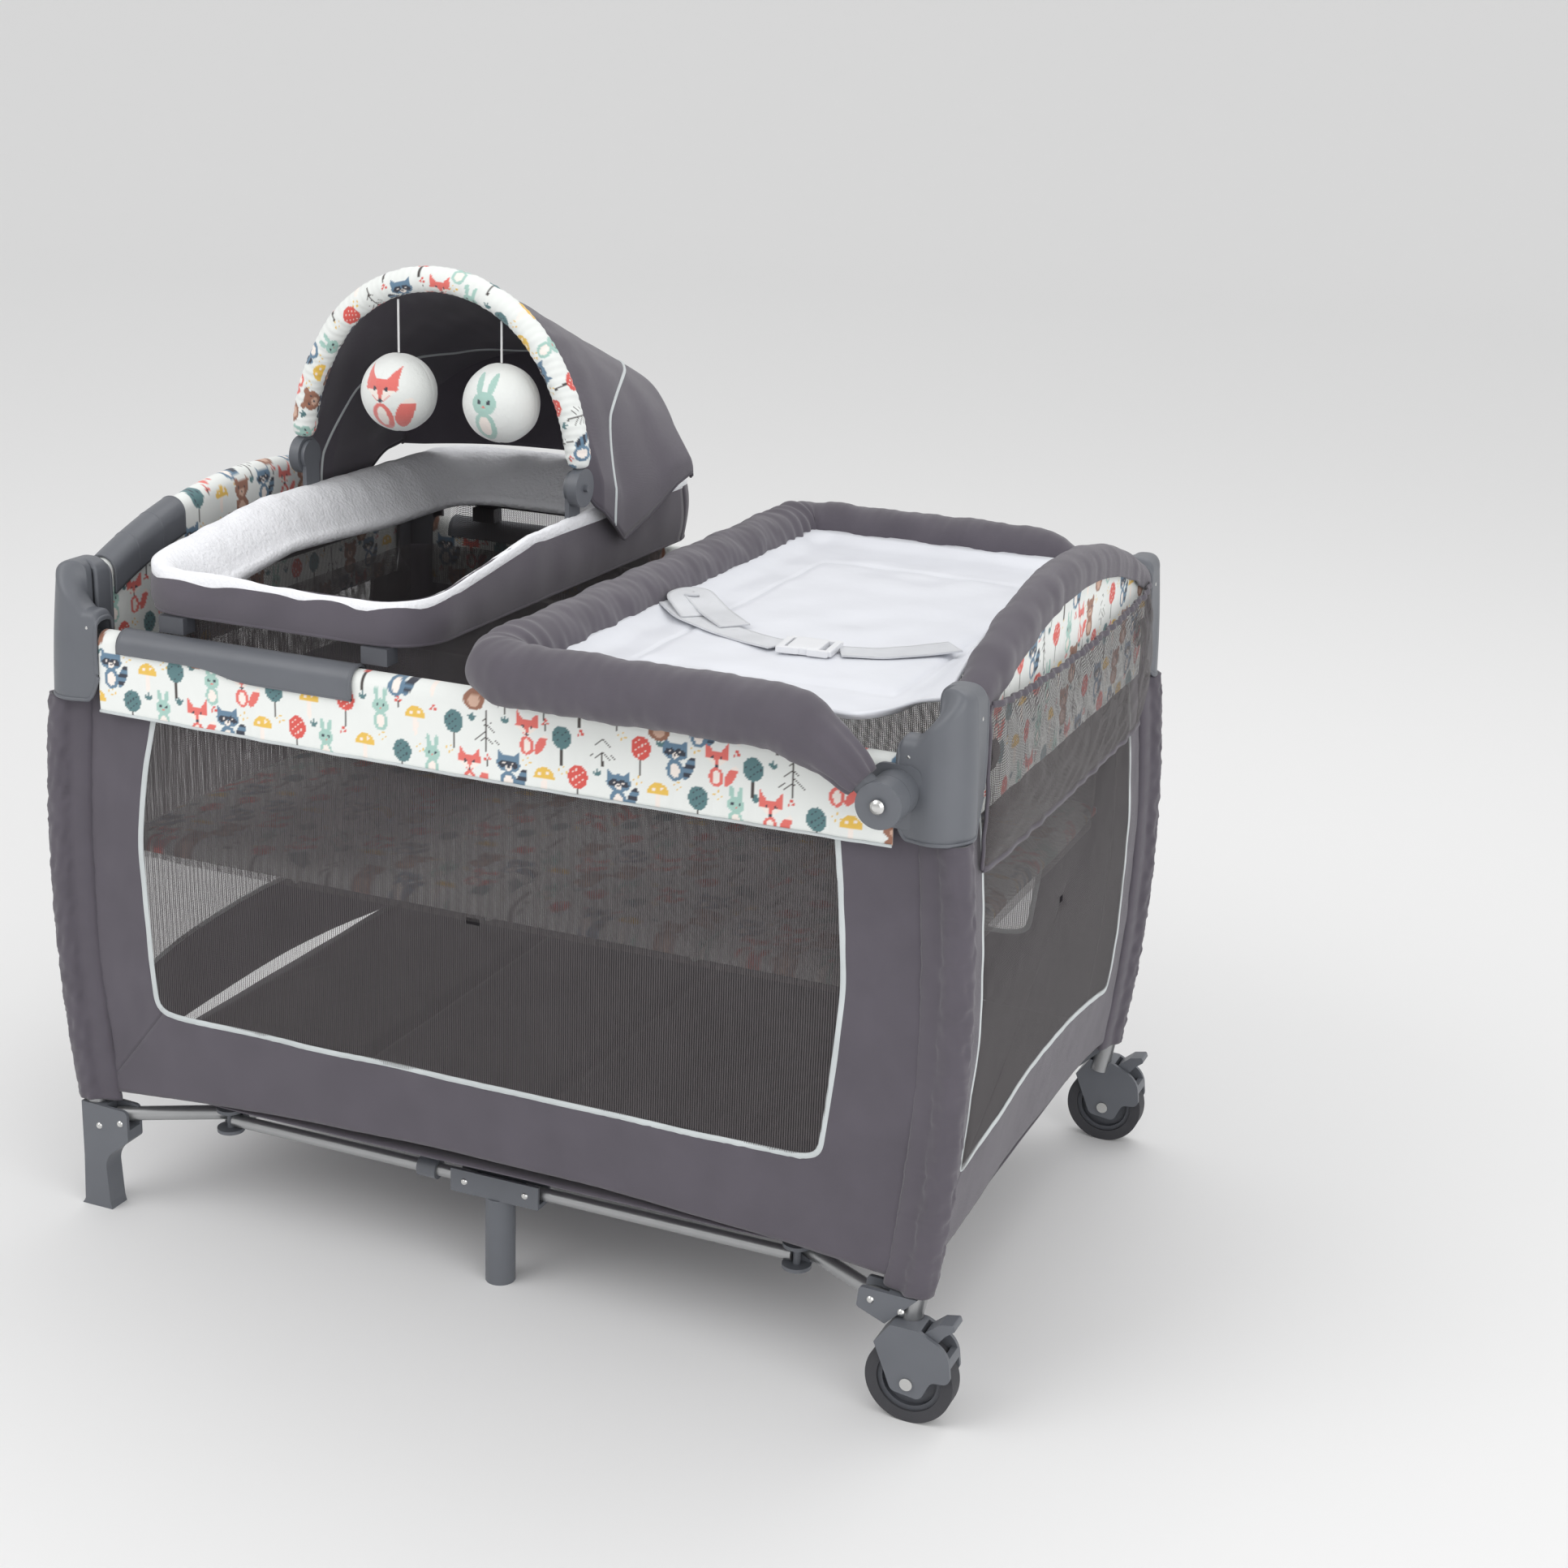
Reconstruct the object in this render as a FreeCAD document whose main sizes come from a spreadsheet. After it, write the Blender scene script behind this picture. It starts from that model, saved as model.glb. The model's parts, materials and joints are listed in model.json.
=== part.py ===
"""Travel play yard with bassinet, napper, canopy, changing table and organizer.

Millimetres. +X runs along the long side to the changing-table end, +Y to the back, +Z up.
The origin is on the floor, at the centre of the four corner feet.
"""
import FreeCAD
import Part
import Sketcher
import math
import os

from FreeCAD import Placement, Rotation, Vector

# ---------------------------------------------------------------- driving sizes
SIZES = {
    "yard_half_length": 476.0,      # post axis at the top, along X
    "yard_half_width": 333.0,       # post and long rail axis, along Y
    "post_radius": 11.0,
    "post_bow": 28.0,               # how far a post bulges outward at mid height
    "post_foot": 92.0,
    "post_head": 48.0,
    "sleeve_radius": 17.0,
    "tube_wall": 1.5,
    "rail_height": 652.0,           # long rail axis
    "rail_radius": 11.0,
    # Heights of bands, brackets, bassinet, napper and table are counted from the long rails.
    "end_rail_crest": 117.0,        # end rail axis at mid width
    "end_rail_offset": 6.0,         # end rail axis beyond the post axis
    "end_rail_bend": 673.0,         # bend radius of the arched end rail
    "band_cloth": 2.0,
    "band_gap": 0.5,
    "band_bottom": -70.0,
    "end_band_bottom": -52.0,
    "bracket_crest": 77.0,
    "bracket_bottom": -61.0,
    "bracket_length": 63.0,
    "wall_cloth": 2.0,
    # These heights are counted from the floor.
    "wall_bottom": 137.0,
    "wall_arch": 26.0,
    "floor_height": 150.0,
    "mat_thickness": 18.0,
    "bassinet_floor": -232.0,       # from the long rails
    "bassinet_pad": 20.0,
    "wheel_radius": 45.0,
    "wheel_width": 22.0,
    "wheel_outset": 9.0,
    "wheel_side_gap": 10.0,
    "arm_radius": 8.0,
    "arm_height": 113.0,
    "knuckle_setback": 138.0,
    "knuckle_side_gap": 46.0,
    "napper_x": -238.0,
    "napper_half_width": 175.0,
    "napper_end_gap": 3.0,
    "napper_front_rim": 93.0,
    "napper_back_rim": 123.0,
    "napper_skirt": 36.0,
    "napper_depth": 165.0,
    "collar_wide": 62.0,
    "collar_thin": 26.0,
    "canopy_pivot": 146.0,
    "canopy_rise": 208.0,
    "canopy_roll": 14.0,
    "toy_radius": 43.0,
    "toy_height": 228.0,
    "toy_spread": 64.0,
    "changer_left": 38.0,
    "changer_overhang": 52.0,
    "changer_height": 48.0,
    "changer_rim": 33.0,
    "hinge_setback": 36.0,
    "hinge_height": -17.0,
    "hinge_radius": 22.0,
    "running_gap": 0.05,
}

document = FreeCAD.newDocument("PlayYard")
sheet = document.addObject("Spreadsheet::Sheet", "Sizes")
for row, (alias, number) in enumerate(SIZES.items(), start=1):
    sheet.set(f"A{row}", alias)
    sheet.set(f"B{row}", str(number))
    sheet.setAlias(f"B{row}", alias)
document.recompute()


class Size:
    """A length that knows its number and the spreadsheet expression it comes from."""

    def __init__(self, number, text=None):
        self.number = float(number)
        self.text = text or repr(float(number))

    def _with(self, other, sign, number):
        return Size(number, f"({self.text} {sign} {other.text})")

    def __add__(self, other):
        other = size(other)
        return self._with(other, "+", self.number + other.number)

    def __sub__(self, other):
        other = size(other)
        return self._with(other, "-", self.number - other.number)

    def __mul__(self, other):
        other = size(other)
        return self._with(other, "*", self.number * other.number)

    def __truediv__(self, other):
        other = size(other)
        return self._with(other, "/", self.number / other.number)

    def __radd__(self, other):
        return size(other) + self

    def __rsub__(self, other):
        return size(other) - self

    def __rmul__(self, other):
        return size(other) * self

    def __neg__(self):
        return self * -1

    def __float__(self):
        return self.number


def size(value):
    """Turn a plain number into a Size; leave a Size as it is."""
    return value if isinstance(value, Size) else Size(value)


def named(alias):
    """The Size held in the spreadsheet under this alias."""
    return Size(sheet.get(alias), f"Sizes.{alias}")


def point(x, y, z):
    """A Vector from three numbers or Sizes."""
    return Vector(float(x), float(y), float(z))


# ---------------------------------------------------------------- modelling helpers
PIECES = {}
counter = {"helper": 0}


def helper_name(word):
    """A fresh name for a construction object."""
    counter["helper"] += 1
    return f"{word}_{counter['helper']}"


def node(label, *pieces):
    """Add pieces to a sub-part; pieces that share a label are kept as one sub-part."""
    PIECES.setdefault(label, []).extend(pieces)


def bind(thing, name, value):
    """Set a property to a Size through its spreadsheet expression."""
    value = size(value)
    thing.setExpression(name, value.text)


def put(thing, x, y, z, rotation=None):
    """Place an object, with its position bound to the sheet."""
    thing.Placement = Placement(point(x, y, z), rotation or Rotation())
    for axis, value in (("x", x), ("y", y), ("z", z)):
        bind(thing, f"Placement.Base.{axis}", value)
    return thing


def box(x0, x1, y0, y1, z0, z1):
    """A block between two corners."""
    thing = document.addObject("Part::Box", helper_name("Box"))
    bind(thing, "Length", size(x1) - x0)
    bind(thing, "Width", size(y1) - y0)
    bind(thing, "Height", size(z1) - z0)
    return put(thing, x0, y0, z0)


AXES = {
    "x": Rotation(Vector(0, 1, 0), 90),
    "y": Rotation(Vector(1, 0, 0), -90),
    "z": Rotation(),
}


def rod(axis, radius, length, x, y, z):
    """A cylinder that starts at a point and runs along +X, +Y or +Z."""
    thing = document.addObject("Part::Cylinder", helper_name("Rod"))
    bind(thing, "Radius", radius)
    bind(thing, "Height", length)
    return put(thing, x, y, z, AXES[axis])


def ball(radius, x, y, z):
    """A sphere."""
    thing = document.addObject("Part::Sphere", helper_name("Ball"))
    bind(thing, "Radius", radius)
    return put(thing, x, y, z)


def cut(base, *tools):
    """Base minus every tool, in turn."""
    for tool in tools:
        thing = document.addObject("Part::Cut", helper_name("Cut"))
        thing.Base, thing.Tool = base, tool
        base = thing
    return base


def fuse(*parts):
    """One shape from several."""
    if len(parts) == 1:
        return parts[0]
    thing = document.addObject("Part::MultiFuse", helper_name("Fuse"))
    thing.Shapes = list(parts)
    return thing


def common(*parts):
    """What all the shapes share."""
    thing = document.addObject("Part::MultiCommon", helper_name("Common"))
    thing.Shapes = list(parts)
    return thing


def group(*parts):
    """Separate pieces kept together as one sub-part."""
    thing = document.addObject("Part::Compound", helper_name("Group"))
    thing.Links = list(parts)
    return thing


def shape(solid):
    """A Part::Feature that holds a shape made with Part's own functions."""
    thing = document.addObject("Part::Feature", helper_name("Shape"))
    thing.Shape = solid
    return thing


def torus_arc(side, y, bend, radius, centre_x, centre_z, low, high):
    """A round bar bent in the XZ plane; low and high are degrees above the level."""
    thing = document.addObject("Part::Torus", helper_name("Bend"))
    bind(thing, "Radius1", bend)
    bind(thing, "Radius2", radius)
    thing.Angle3 = high - low
    upright = Rotation(Vector(1, 0, 0), 90)
    if side < 0:
        turn = Rotation(Vector(0, 0, 1), 180) * Rotation(Vector(1, 0, 0), 90)
        upright = turn
    start = Rotation(Vector(0, -side, 0), low)
    return put(thing, centre_x, y, centre_z, start * upright)


PLANES = {
    "XY": ("XY_Plane", Vector(1, 0, 0), Vector(0, 1, 0), Vector(0, 0, 1)),
    "XZ": ("XZ_Plane", Vector(1, 0, 0), Vector(0, 0, 1), Vector(0, -1, 0)),
    "YZ": ("YZ_Plane", Vector(0, 1, 0), Vector(0, 0, 1), Vector(1, 0, 0)),
}


def plate(plane, near, far, corners, rounds=()):
    """A PartDesign pad of a polygon, from near to far along the third axis.

    corners are (horizontal, vertical) Sizes; rounds are (corner numbers, radius) pairs.
    """
    role, across, up, normal = PLANES[plane]
    body = document.addObject("PartDesign::Body", helper_name("Body"))
    outline = body.newObject("Sketcher::SketchObject", helper_name("Outline"))
    origin = [f for f in body.Origin.OriginFeatures if f.Role == role][0]
    outline.AttachmentSupport = [(origin, "")]
    outline.MapMode = "FlatFace"
    ends = [Vector(float(a), float(b), 0) for a, b in corners]
    for i, start in enumerate(ends):
        outline.addGeometry(Part.LineSegment(start, ends[(i + 1) % len(ends)]), False)
    for i in range(len(ends)):
        outline.addConstraint(
            Sketcher.Constraint("Coincident", i, 2, (i + 1) % len(ends), 1))
    for i, (a, b) in enumerate(corners):
        for kind, value in (("DistanceX", a), ("DistanceY", b)):
            at = outline.addConstraint(Sketcher.Constraint(kind, -1, 1, i, 1, float(value)))
            outline.setExpression(f"Constraints[{at}]", size(value).text)
    pad = body.newObject("PartDesign::Pad", helper_name("Pad"))
    pad.Profile = outline
    # The sketch normal of the XZ plane is -Y, so that pad is grown towards +Y by reversing.
    pad.Reversed = plane == "XZ"
    bind(pad, "Length", size(far) - near)
    document.recompute()
    grow = -normal if plane == "XZ" else normal
    for numbers, radius in rounds:
        spots = [across * float(corners[n][0]) + up * float(corners[n][1]) for n in numbers]
        edges = []
        for k, edge in enumerate(body.Shape.Edges, start=1):
            ends = [v.Point for v in edge.Vertexes]
            for spot in spots:
                if len(ends) == 2 and all(
                        (end - spot).cross(grow).Length < 0.01 for end in ends):
                    edges.append(f"Edge{k}")
        finished = body.Tip
        fillet = body.newObject("PartDesign::Fillet", helper_name("Round"))
        fillet.Base = (finished, edges)
        bind(fillet, "Radius", radius)
        document.recompute()
    shift = {"XY": (0, 0, near), "XZ": (0, near, 0), "YZ": (near, 0, 0)}[plane]
    return put(body, *shift)


def path(*items):
    """A wire of lines and arcs: points, with ("arc", through, end) for a bend."""
    edges = []
    here = items[0]
    for item in items[1:]:
        if isinstance(item, tuple):
            edges.append(Part.Arc(here, item[1], item[2]).toShape())
            here = item[2]
        else:
            edges.append(Part.LineSegment(here, item).toShape())
            here = item
    return Part.Wire(edges)


def rounded_path(points, radius):
    """A wire through the points, each inner corner turned by an arc of this radius."""
    items = [points[0]]
    for before, corner, after in zip(points, points[1:], points[2:]):
        back = (before - corner).normalize()
        ahead = (after - corner).normalize()
        half = back.getAngle(ahead) / 2
        reach = float(radius) / math.tan(half)
        middle = (back + ahead).normalize()
        tip = corner + middle * (float(radius) / math.sin(half) - float(radius))
        items.append(corner + back * reach)
        items.append(("arc", tip, corner + ahead * reach))
    items.append(points[-1])
    return path(*items)


def tube(wire, radius, bore=0.0):
    """A round bar, or a pipe when it has a bore, swept along a wire."""
    def swept(r):
        first = wire.Edges[0]
        start = first.valueAt(first.FirstParameter)
        if wire.OrderedVertexes and not wire.isClosed():
            start = wire.OrderedVertexes[0].Point
            first = wire.OrderedEdges[0]
        along = first.tangentAt(first.FirstParameter)
        ring = Part.Wire(Part.makeCircle(r, start, along))
        return wire.makePipeShell([ring], True, False)
    solid = swept(float(radius))
    if float(bore):
        solid = solid.cut(swept(float(bore)))
    return solid


def over_rail(alias):
    """A height that the sheet gives from the long rails' axis."""
    return named("rail_height") + named(alias)


CORNERS = (("front_left", -1, -1), ("front_right", 1, -1),
           ("back_left", -1, 1), ("back_right", 1, 1))

yard_x, yard_y = named("yard_half_length"), named("yard_half_width")
post_radius, tube_wall = named("post_radius"), named("tube_wall")
rail_z, rail_radius = named("rail_height"), named("rail_radius")

# ---------------------------------------------------------------- corner posts and sleeves
post_foot, post_head, post_bow = named("post_foot"), over_rail("post_head"), named("post_bow")
post_middle = (post_foot + post_head) / 2
half_chord = (post_head - post_foot) / 2
post_bend = (half_chord * half_chord / post_bow + post_bow) / 2
post_centre = yard_x + post_bow - post_bend
post_swing = math.degrees(math.asin(float(half_chord) / float(post_bend)))


def bowed_bar(side_x, side_y, radius, low_z, high_z):
    """A bar along the bowed line of a corner post, between two heights."""
    low = math.degrees(math.asin(float((low_z - post_middle) / post_bend)))
    high = math.degrees(math.asin(float((high_z - post_middle) / post_bend)))
    return torus_arc(side_x, side_y * yard_y, post_bend, radius,
                     side_x * post_centre, post_middle, low, high)


def post_x(z):
    """Distance of the bowed post axis from the middle of the yard at a height."""
    drop = float(z) - float(post_middle)
    return float(post_centre) + math.sqrt(float(post_bend) ** 2 - drop ** 2)


posts = [cut(bowed_bar(sx, sy, post_radius, post_foot, post_head),
             bowed_bar(sx, sy, post_radius - tube_wall, post_foot - 5, post_head + 5))
         for _, sx, sy in CORNERS]
node("corner_posts", *posts)

sleeve_radius = named("sleeve_radius")
wall_bottom, band_bottom = named("wall_bottom"), over_rail("band_bottom")
bracket_bottom = over_rail("bracket_bottom")
sleeves = [cut(bowed_bar(sx, sy, sleeve_radius, wall_bottom - 6, bracket_bottom - 1),
               bowed_bar(sx, sy, post_radius + 1, wall_bottom - 20, bracket_bottom + 20))
           for _, sx, sy in CORNERS]
node("corner_sleeves", *sleeves)

# ---------------------------------------------------------------- top rails and latches
end_x = yard_x + named("end_rail_offset")
end_crest, end_bend = over_rail("end_rail_crest"), named("end_rail_bend")
end_centre = end_crest - end_bend
latch_half = Size(22.0)


def end_rail_z(y):
    """Height of the arched end rail axis at a distance from mid width."""
    return float(end_centre) + math.sqrt(float(end_bend) ** 2 - float(y) ** 2)


for side, sign in (("front", -1), ("back", 1)):
    halves = []
    for start in (-yard_x + 6, latch_half):
        length = yard_x - 6 - latch_half
        halves.append(cut(rod("x", rail_radius, length, start, sign * yard_y, rail_z),
                          rod("x", rail_radius - tube_wall, length, start, sign * yard_y, rail_z)))
    node("long_rails", *halves)

for side, sign in (("left", -1), ("right", 1)):
    halves = []
    reach = yard_y - post_radius - 8
    for way in (-1, 1):
        first = point(sign * end_x, way * latch_half, end_rail_z(latch_half))
        middle_y = float(latch_half + reach) / 2
        middle = point(sign * end_x, way * middle_y, end_rail_z(middle_y))
        last = point(sign * end_x, way * reach, end_rail_z(reach))
        halves.append(shape(tube(path(first, ("arc", middle, last)),
                                 rail_radius, rail_radius - tube_wall)))
    node("end_rails", *halves)

LATCHES = (("front", 0, -1), ("back", 0, 1), ("left", -1, 0), ("right", 1, 0))
latch_blocks = []
for side, sx, sy in LATCHES:
    cx, cy = sx * end_x, sy * yard_y
    cz = end_crest if sx else rail_z
    long_x = latch_half - 0.5 if sy else rail_radius - 0.5
    long_y = latch_half - 0.5 if sx else rail_radius - 0.5
    block = box(cx - long_x, cx + long_x, cy - long_y, cy + long_y, cz - 24, cz + 4)
    slot_x = Size(13.0) if sy else Size(6.0)
    slot_y = Size(13.0) if sx else Size(6.0)
    slot = box(cx - slot_x, cx + slot_x, cy - slot_y, cy + slot_y, cz - 25, cz - 10)
    latch_blocks.append(cut(block, slot))
    press = box(cx - slot_x + 0.5, cx + slot_x - 0.5, cy - slot_y + 0.5, cy + slot_y - 0.5,
                cz - 29, cz - 15)
    node(f"latch_button_{side}", press)
node("rail_latches", *latch_blocks)

# ---------------------------------------------------------------- corner brackets
bracket_crest = over_rail("bracket_crest")
bracket_length = named("bracket_length")
bracket_out_x = yard_x + 25
bracket_out_y = yard_y + 14
for corner, sx, sy in CORNERS:
    inner_x = bracket_out_x - bracket_length
    low, top = bracket_bottom, bracket_crest
    # Long-rail wing: a saddle that dips from the crest towards the rail.
    face = [(inner_x, low + 18), (inner_x + 20, low), (bracket_out_x, low),
            (bracket_out_x, top), (bracket_out_x - 26, top), (inner_x + 26, top - 40),
            (inner_x, top - 46)]
    wing_a = plate("XZ", sy * yard_y - 14, sy * yard_y + 14,
                   [(sx * a, b) for a, b in face],
                   [((2,), 26), ((1,), 14), ((5,), 30), ((4,), 12), ((0, 6), 6)])
    # End-rail wing: shorter, with a high rounded horn.
    inner_y = bracket_out_y - bracket_length + 2
    side = [(inner_y, low + 30), (bracket_out_y, low + 20), (bracket_out_y, top),
            (inner_y, top)]
    wing_b = plate("YZ", sx * end_x - 19, sx * end_x + 19,
                   [(sy * a, b) for a, b in side], [((0, 3), 12)])
    shell = fuse(wing_a, wing_b)
    # Hollow channels that straddle the two rails and the post.
    hollow_a = box(sx * (bracket_out_x - 3) if sx < 0 else inner_x - 5,
                   bracket_out_x - 3 if sx > 0 else -inner_x + 5,
                   sy * yard_y - 11.5, sy * yard_y + 11.5, low - 5, top - 44)
    hollow_b = box(sx * end_x - 16, sx * end_x + 16,
                   inner_y - 5 if sy > 0 else -bracket_out_y + 3,
                   bracket_out_y - 3 if sy > 0 else -inner_y + 5, low - 5, top - 4)
    node("corner_brackets", cut(shell, hollow_a, hollow_b, bowed_bar(
        sx, sy, post_radius + 0.3, post_foot, post_head + 20)))

# ---------------------------------------------------------------- fabric bands over the rails
cloth, band_gap = named("band_cloth"), named("band_gap")
band_in = rail_radius + band_gap
band_out = band_in + cloth
band_end = bracket_out_x - bracket_length - 0.5
for side, sign in (("front", -1), ("back", 1)):
    y = sign * yard_y
    outer = fuse(box(-band_end, band_end, y - band_out, y + band_out, band_bottom, rail_z),
                 rod("x", band_out, 2 * band_end, -band_end, y, rail_z))
    inner = fuse(box(-band_end - 1, band_end + 1, y - band_in, y + band_in,
                     band_bottom - 1, rail_z),
                 rod("x", band_in, 2 * band_end + 2, -band_end - 1, y, rail_z))
    node("long_bands", cut(outer, inner))

band_reach = bracket_out_y - bracket_length + 1.5
end_band_bottom = over_rail("end_band_bottom")
for side, sign in (("left", -1), ("right", 1)):
    x = sign * end_x
    outer = common(rod("x", end_bend + band_out, 2 * band_out, x - band_out, 0, end_centre),
                   box(x - band_out, x + band_out, -band_reach, band_reach,
                       end_band_bottom, end_crest + 60))
    inner = common(rod("x", end_bend + band_in, 2 * band_in, x - band_in, 0, end_centre),
                   box(x - band_in, x + band_in, -band_reach - 1, band_reach + 1,
                       end_band_bottom - 1, end_crest + 60))
    node("end_bands", cut(outer, inner))

# ---------------------------------------------------------------- rail guards
guard_in = band_out + 0.4
guard_out = guard_in + 3
guards = []
for sign in (-1, 1):
    y = sign * yard_y
    outer = fuse(box(-412, -132, y - guard_out, y + guard_out, rail_z - 12, rail_z),
                 rod("x", guard_out, 280, -412, y, rail_z))
    inner = fuse(box(-413, -131, y - guard_in, y + guard_in, rail_z - 30, rail_z),
                 rod("x", guard_in, 282, -413, y, rail_z))
    guards.append(cut(outer, inner))
node("rail_guards", *guards)
x = -end_x
ring = cut(rod("x", end_bend + guard_out, 2 * guard_out, x - guard_out, 0, end_centre),
           rod("x", end_bend - 14, 2 * guard_out, x - guard_out, 0, end_centre))
blank = common(ring, box(x - guard_out, x + guard_out, -278, -152, end_crest - 100, end_crest + 60))
core = common(rod("x", end_bend + guard_in, 2 * guard_in, x - guard_in, 0, end_centre),
              box(x - guard_in, x + guard_in, -280, -150, end_crest - 200, end_crest + 60))
node("rail_guards", cut(blank, core))

# ---------------------------------------------------------------- mesh walls and floor
wall_cloth, wall_arch = named("wall_cloth"), named("wall_arch")
window_z = band_bottom + 6


def arch_cutter(axis, half_span, reach):
    """A large roller that scoops the arched lower edge out of a wall."""
    radius = (half_span * half_span / wall_arch + wall_arch) / 2
    if axis == "y":
        return rod("y", radius, reach * 2, 0, -reach, wall_bottom + wall_arch - radius)
    return rod("x", radius, reach * 2, -reach, 0, wall_bottom + wall_arch - radius)


for side, sign in (("front", -1), ("back", 1)):
    y = sign * yard_y
    panel = box(-post_x(post_middle), post_x(post_middle), y - wall_cloth / 2,
                y + wall_cloth / 2, wall_bottom, window_z)
    # The panel stops at the bowed sleeves: two large rollers trim both ends.
    ends = []
    for sx in (-1, 1):
        disc = rod("y", post_bend - sleeve_radius, 60, sx * post_centre, y - 30, post_middle)
        ends.append(disc)
    node(f"wall_{side}", cut(common(panel, *ends), arch_cutter("y", yard_x, size(400))))

for side, sign in (("left", -1), ("right", 1)):
    skin = cut(rod("y", post_bend + wall_cloth / 2, 2 * (yard_y - sleeve_radius),
                   sign * post_centre, -yard_y + sleeve_radius, post_middle),
               rod("y", post_bend - wall_cloth / 2, 2 * yard_y,
                   sign * post_centre, -yard_y, post_middle))
    slab = box(sign * yard_x - 60, sign * yard_x + 60, -yard_y, yard_y,
               wall_bottom, end_band_bottom + 4)
    node(f"wall_{side}", cut(common(skin, slab), arch_cutter("x", yard_y, size(600))))

floor_z, mat = named("floor_height"), named("mat_thickness")
floor_x = Size(post_x(floor_z) - 3)
node("yard_floor", cut(box(-floor_x, floor_x, -yard_y + 1.5, yard_y - 1.5, floor_z - 2, floor_z),
                       *[bowed_bar(sx, sy, sleeve_radius + 0.4, post_foot, post_head)
                         for _, sx, sy in CORNERS]))
mat_x = floor_x - 18
node("floor_mat", plate("XY", floor_z + 0.2, floor_z + mat,
                        [(-mat_x, -yard_y + 18), (mat_x, -yard_y + 18),
                         (mat_x, yard_y - 18), (-mat_x, yard_y - 18)], [((0, 1, 2, 3), 30)]))

# ---------------------------------------------------------------- bassinet
bass_floor, bass_pad = over_rail("bassinet_floor"), named("bassinet_pad")
bass_x = end_x - band_out - 7
bass_y = yard_y - band_out - 2
bass_cloth = Size(1.5)
bass_long = end_x - 20
sling = [box(-bass_long, bass_long, sign * bass_y - bass_cloth / 2, sign * bass_y + bass_cloth / 2,
             bass_floor - 8, rail_z - 14) for sign in (-1, 1)]
for sign in (-1, 1):
    sling.append(box(sign * bass_x - bass_cloth / 2, sign * bass_x + bass_cloth / 2,
                     -band_reach + 1.5, band_reach - 1.5,
                     bass_floor - 8, rail_z + 20))
node("bassinet_sling", *sling)
node("bassinet_pad", plate("XY", bass_floor, bass_floor + bass_pad,
                           [(-bass_x + 4, -bass_y + 4), (bass_x - 4, -bass_y + 4),
                            (bass_x - 4, bass_y - 4), (-bass_x + 4, bass_y - 4)],
                           [((0, 1, 2, 3), 12)]))

# ---------------------------------------------------------------- diagonal arm lines
arm_r, arm_z = named("arm_radius"), named("arm_height")
knuckle_x, knuckle_y = yard_x - named("knuckle_setback"), yard_y - named("knuckle_side_gap")
hub_half = Size(46.0)
arm_lines = {}
for corner, sx, sy in CORNERS:
    foot = point(sx * (yard_x - 22), sy * yard_y, arm_z)
    knee = point(sx * knuckle_x, sy * (knuckle_y - 18), arm_z)
    middle = point(sx * hub_half, sy * 26, arm_z)
    arm_lines[(sx, sy)] = rounded_path([foot, knee, middle], 60)
arm_room = {place: shape(tube(line, arm_r + 0.4)) for place, line in arm_lines.items()}

# ---------------------------------------------------------------- feet
rivets = []


def rivet(y, x, z, way, radius=4.5):
    """A domed rivet head standing on a face that looks along -Y or +Y."""
    head = common(ball(radius, x, y - way * radius / 2, z), box(x - 5, x + 5, y if way > 0 else y - 5,
                                             y + 5 if way > 0 else y, z - 5, z + 5))
    rivets.append(head)


leg_y = yard_y
for side, sign in (("front", -1), ("back", 1)):
    y = sign * leg_y
    x0 = -post_x(post_foot)
    outline = [(x0 - 16, 126), (x0 - 16, 60), (x0 - 18, 6), (x0 - 22, 0), (x0 + 18, 0),
               (x0 + 16, 8), (x0 + 12, 62), (x0 + 44, 88), (x0 + 44, 124)]
    leg = plate("XZ", y - 13, y + 13, outline,
                [((6,), 24), ((7, 8), 6), ((2, 5), 4)])
    socket = bowed_bar(-1, sign, post_radius + 0.2, post_foot, post_foot + 80)
    slot = box(x0 + 14, x0 + 60, y - 9, y + 9, named("arm_height") - 12, 140)
    node("corner_feet", cut(leg, socket, slot, arm_room[(-1, sign)]))
    for dx, dz in ((6, 100), (34, 108)):
        rivet(y + sign * 13, x0 + dx, dz, sign)

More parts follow.
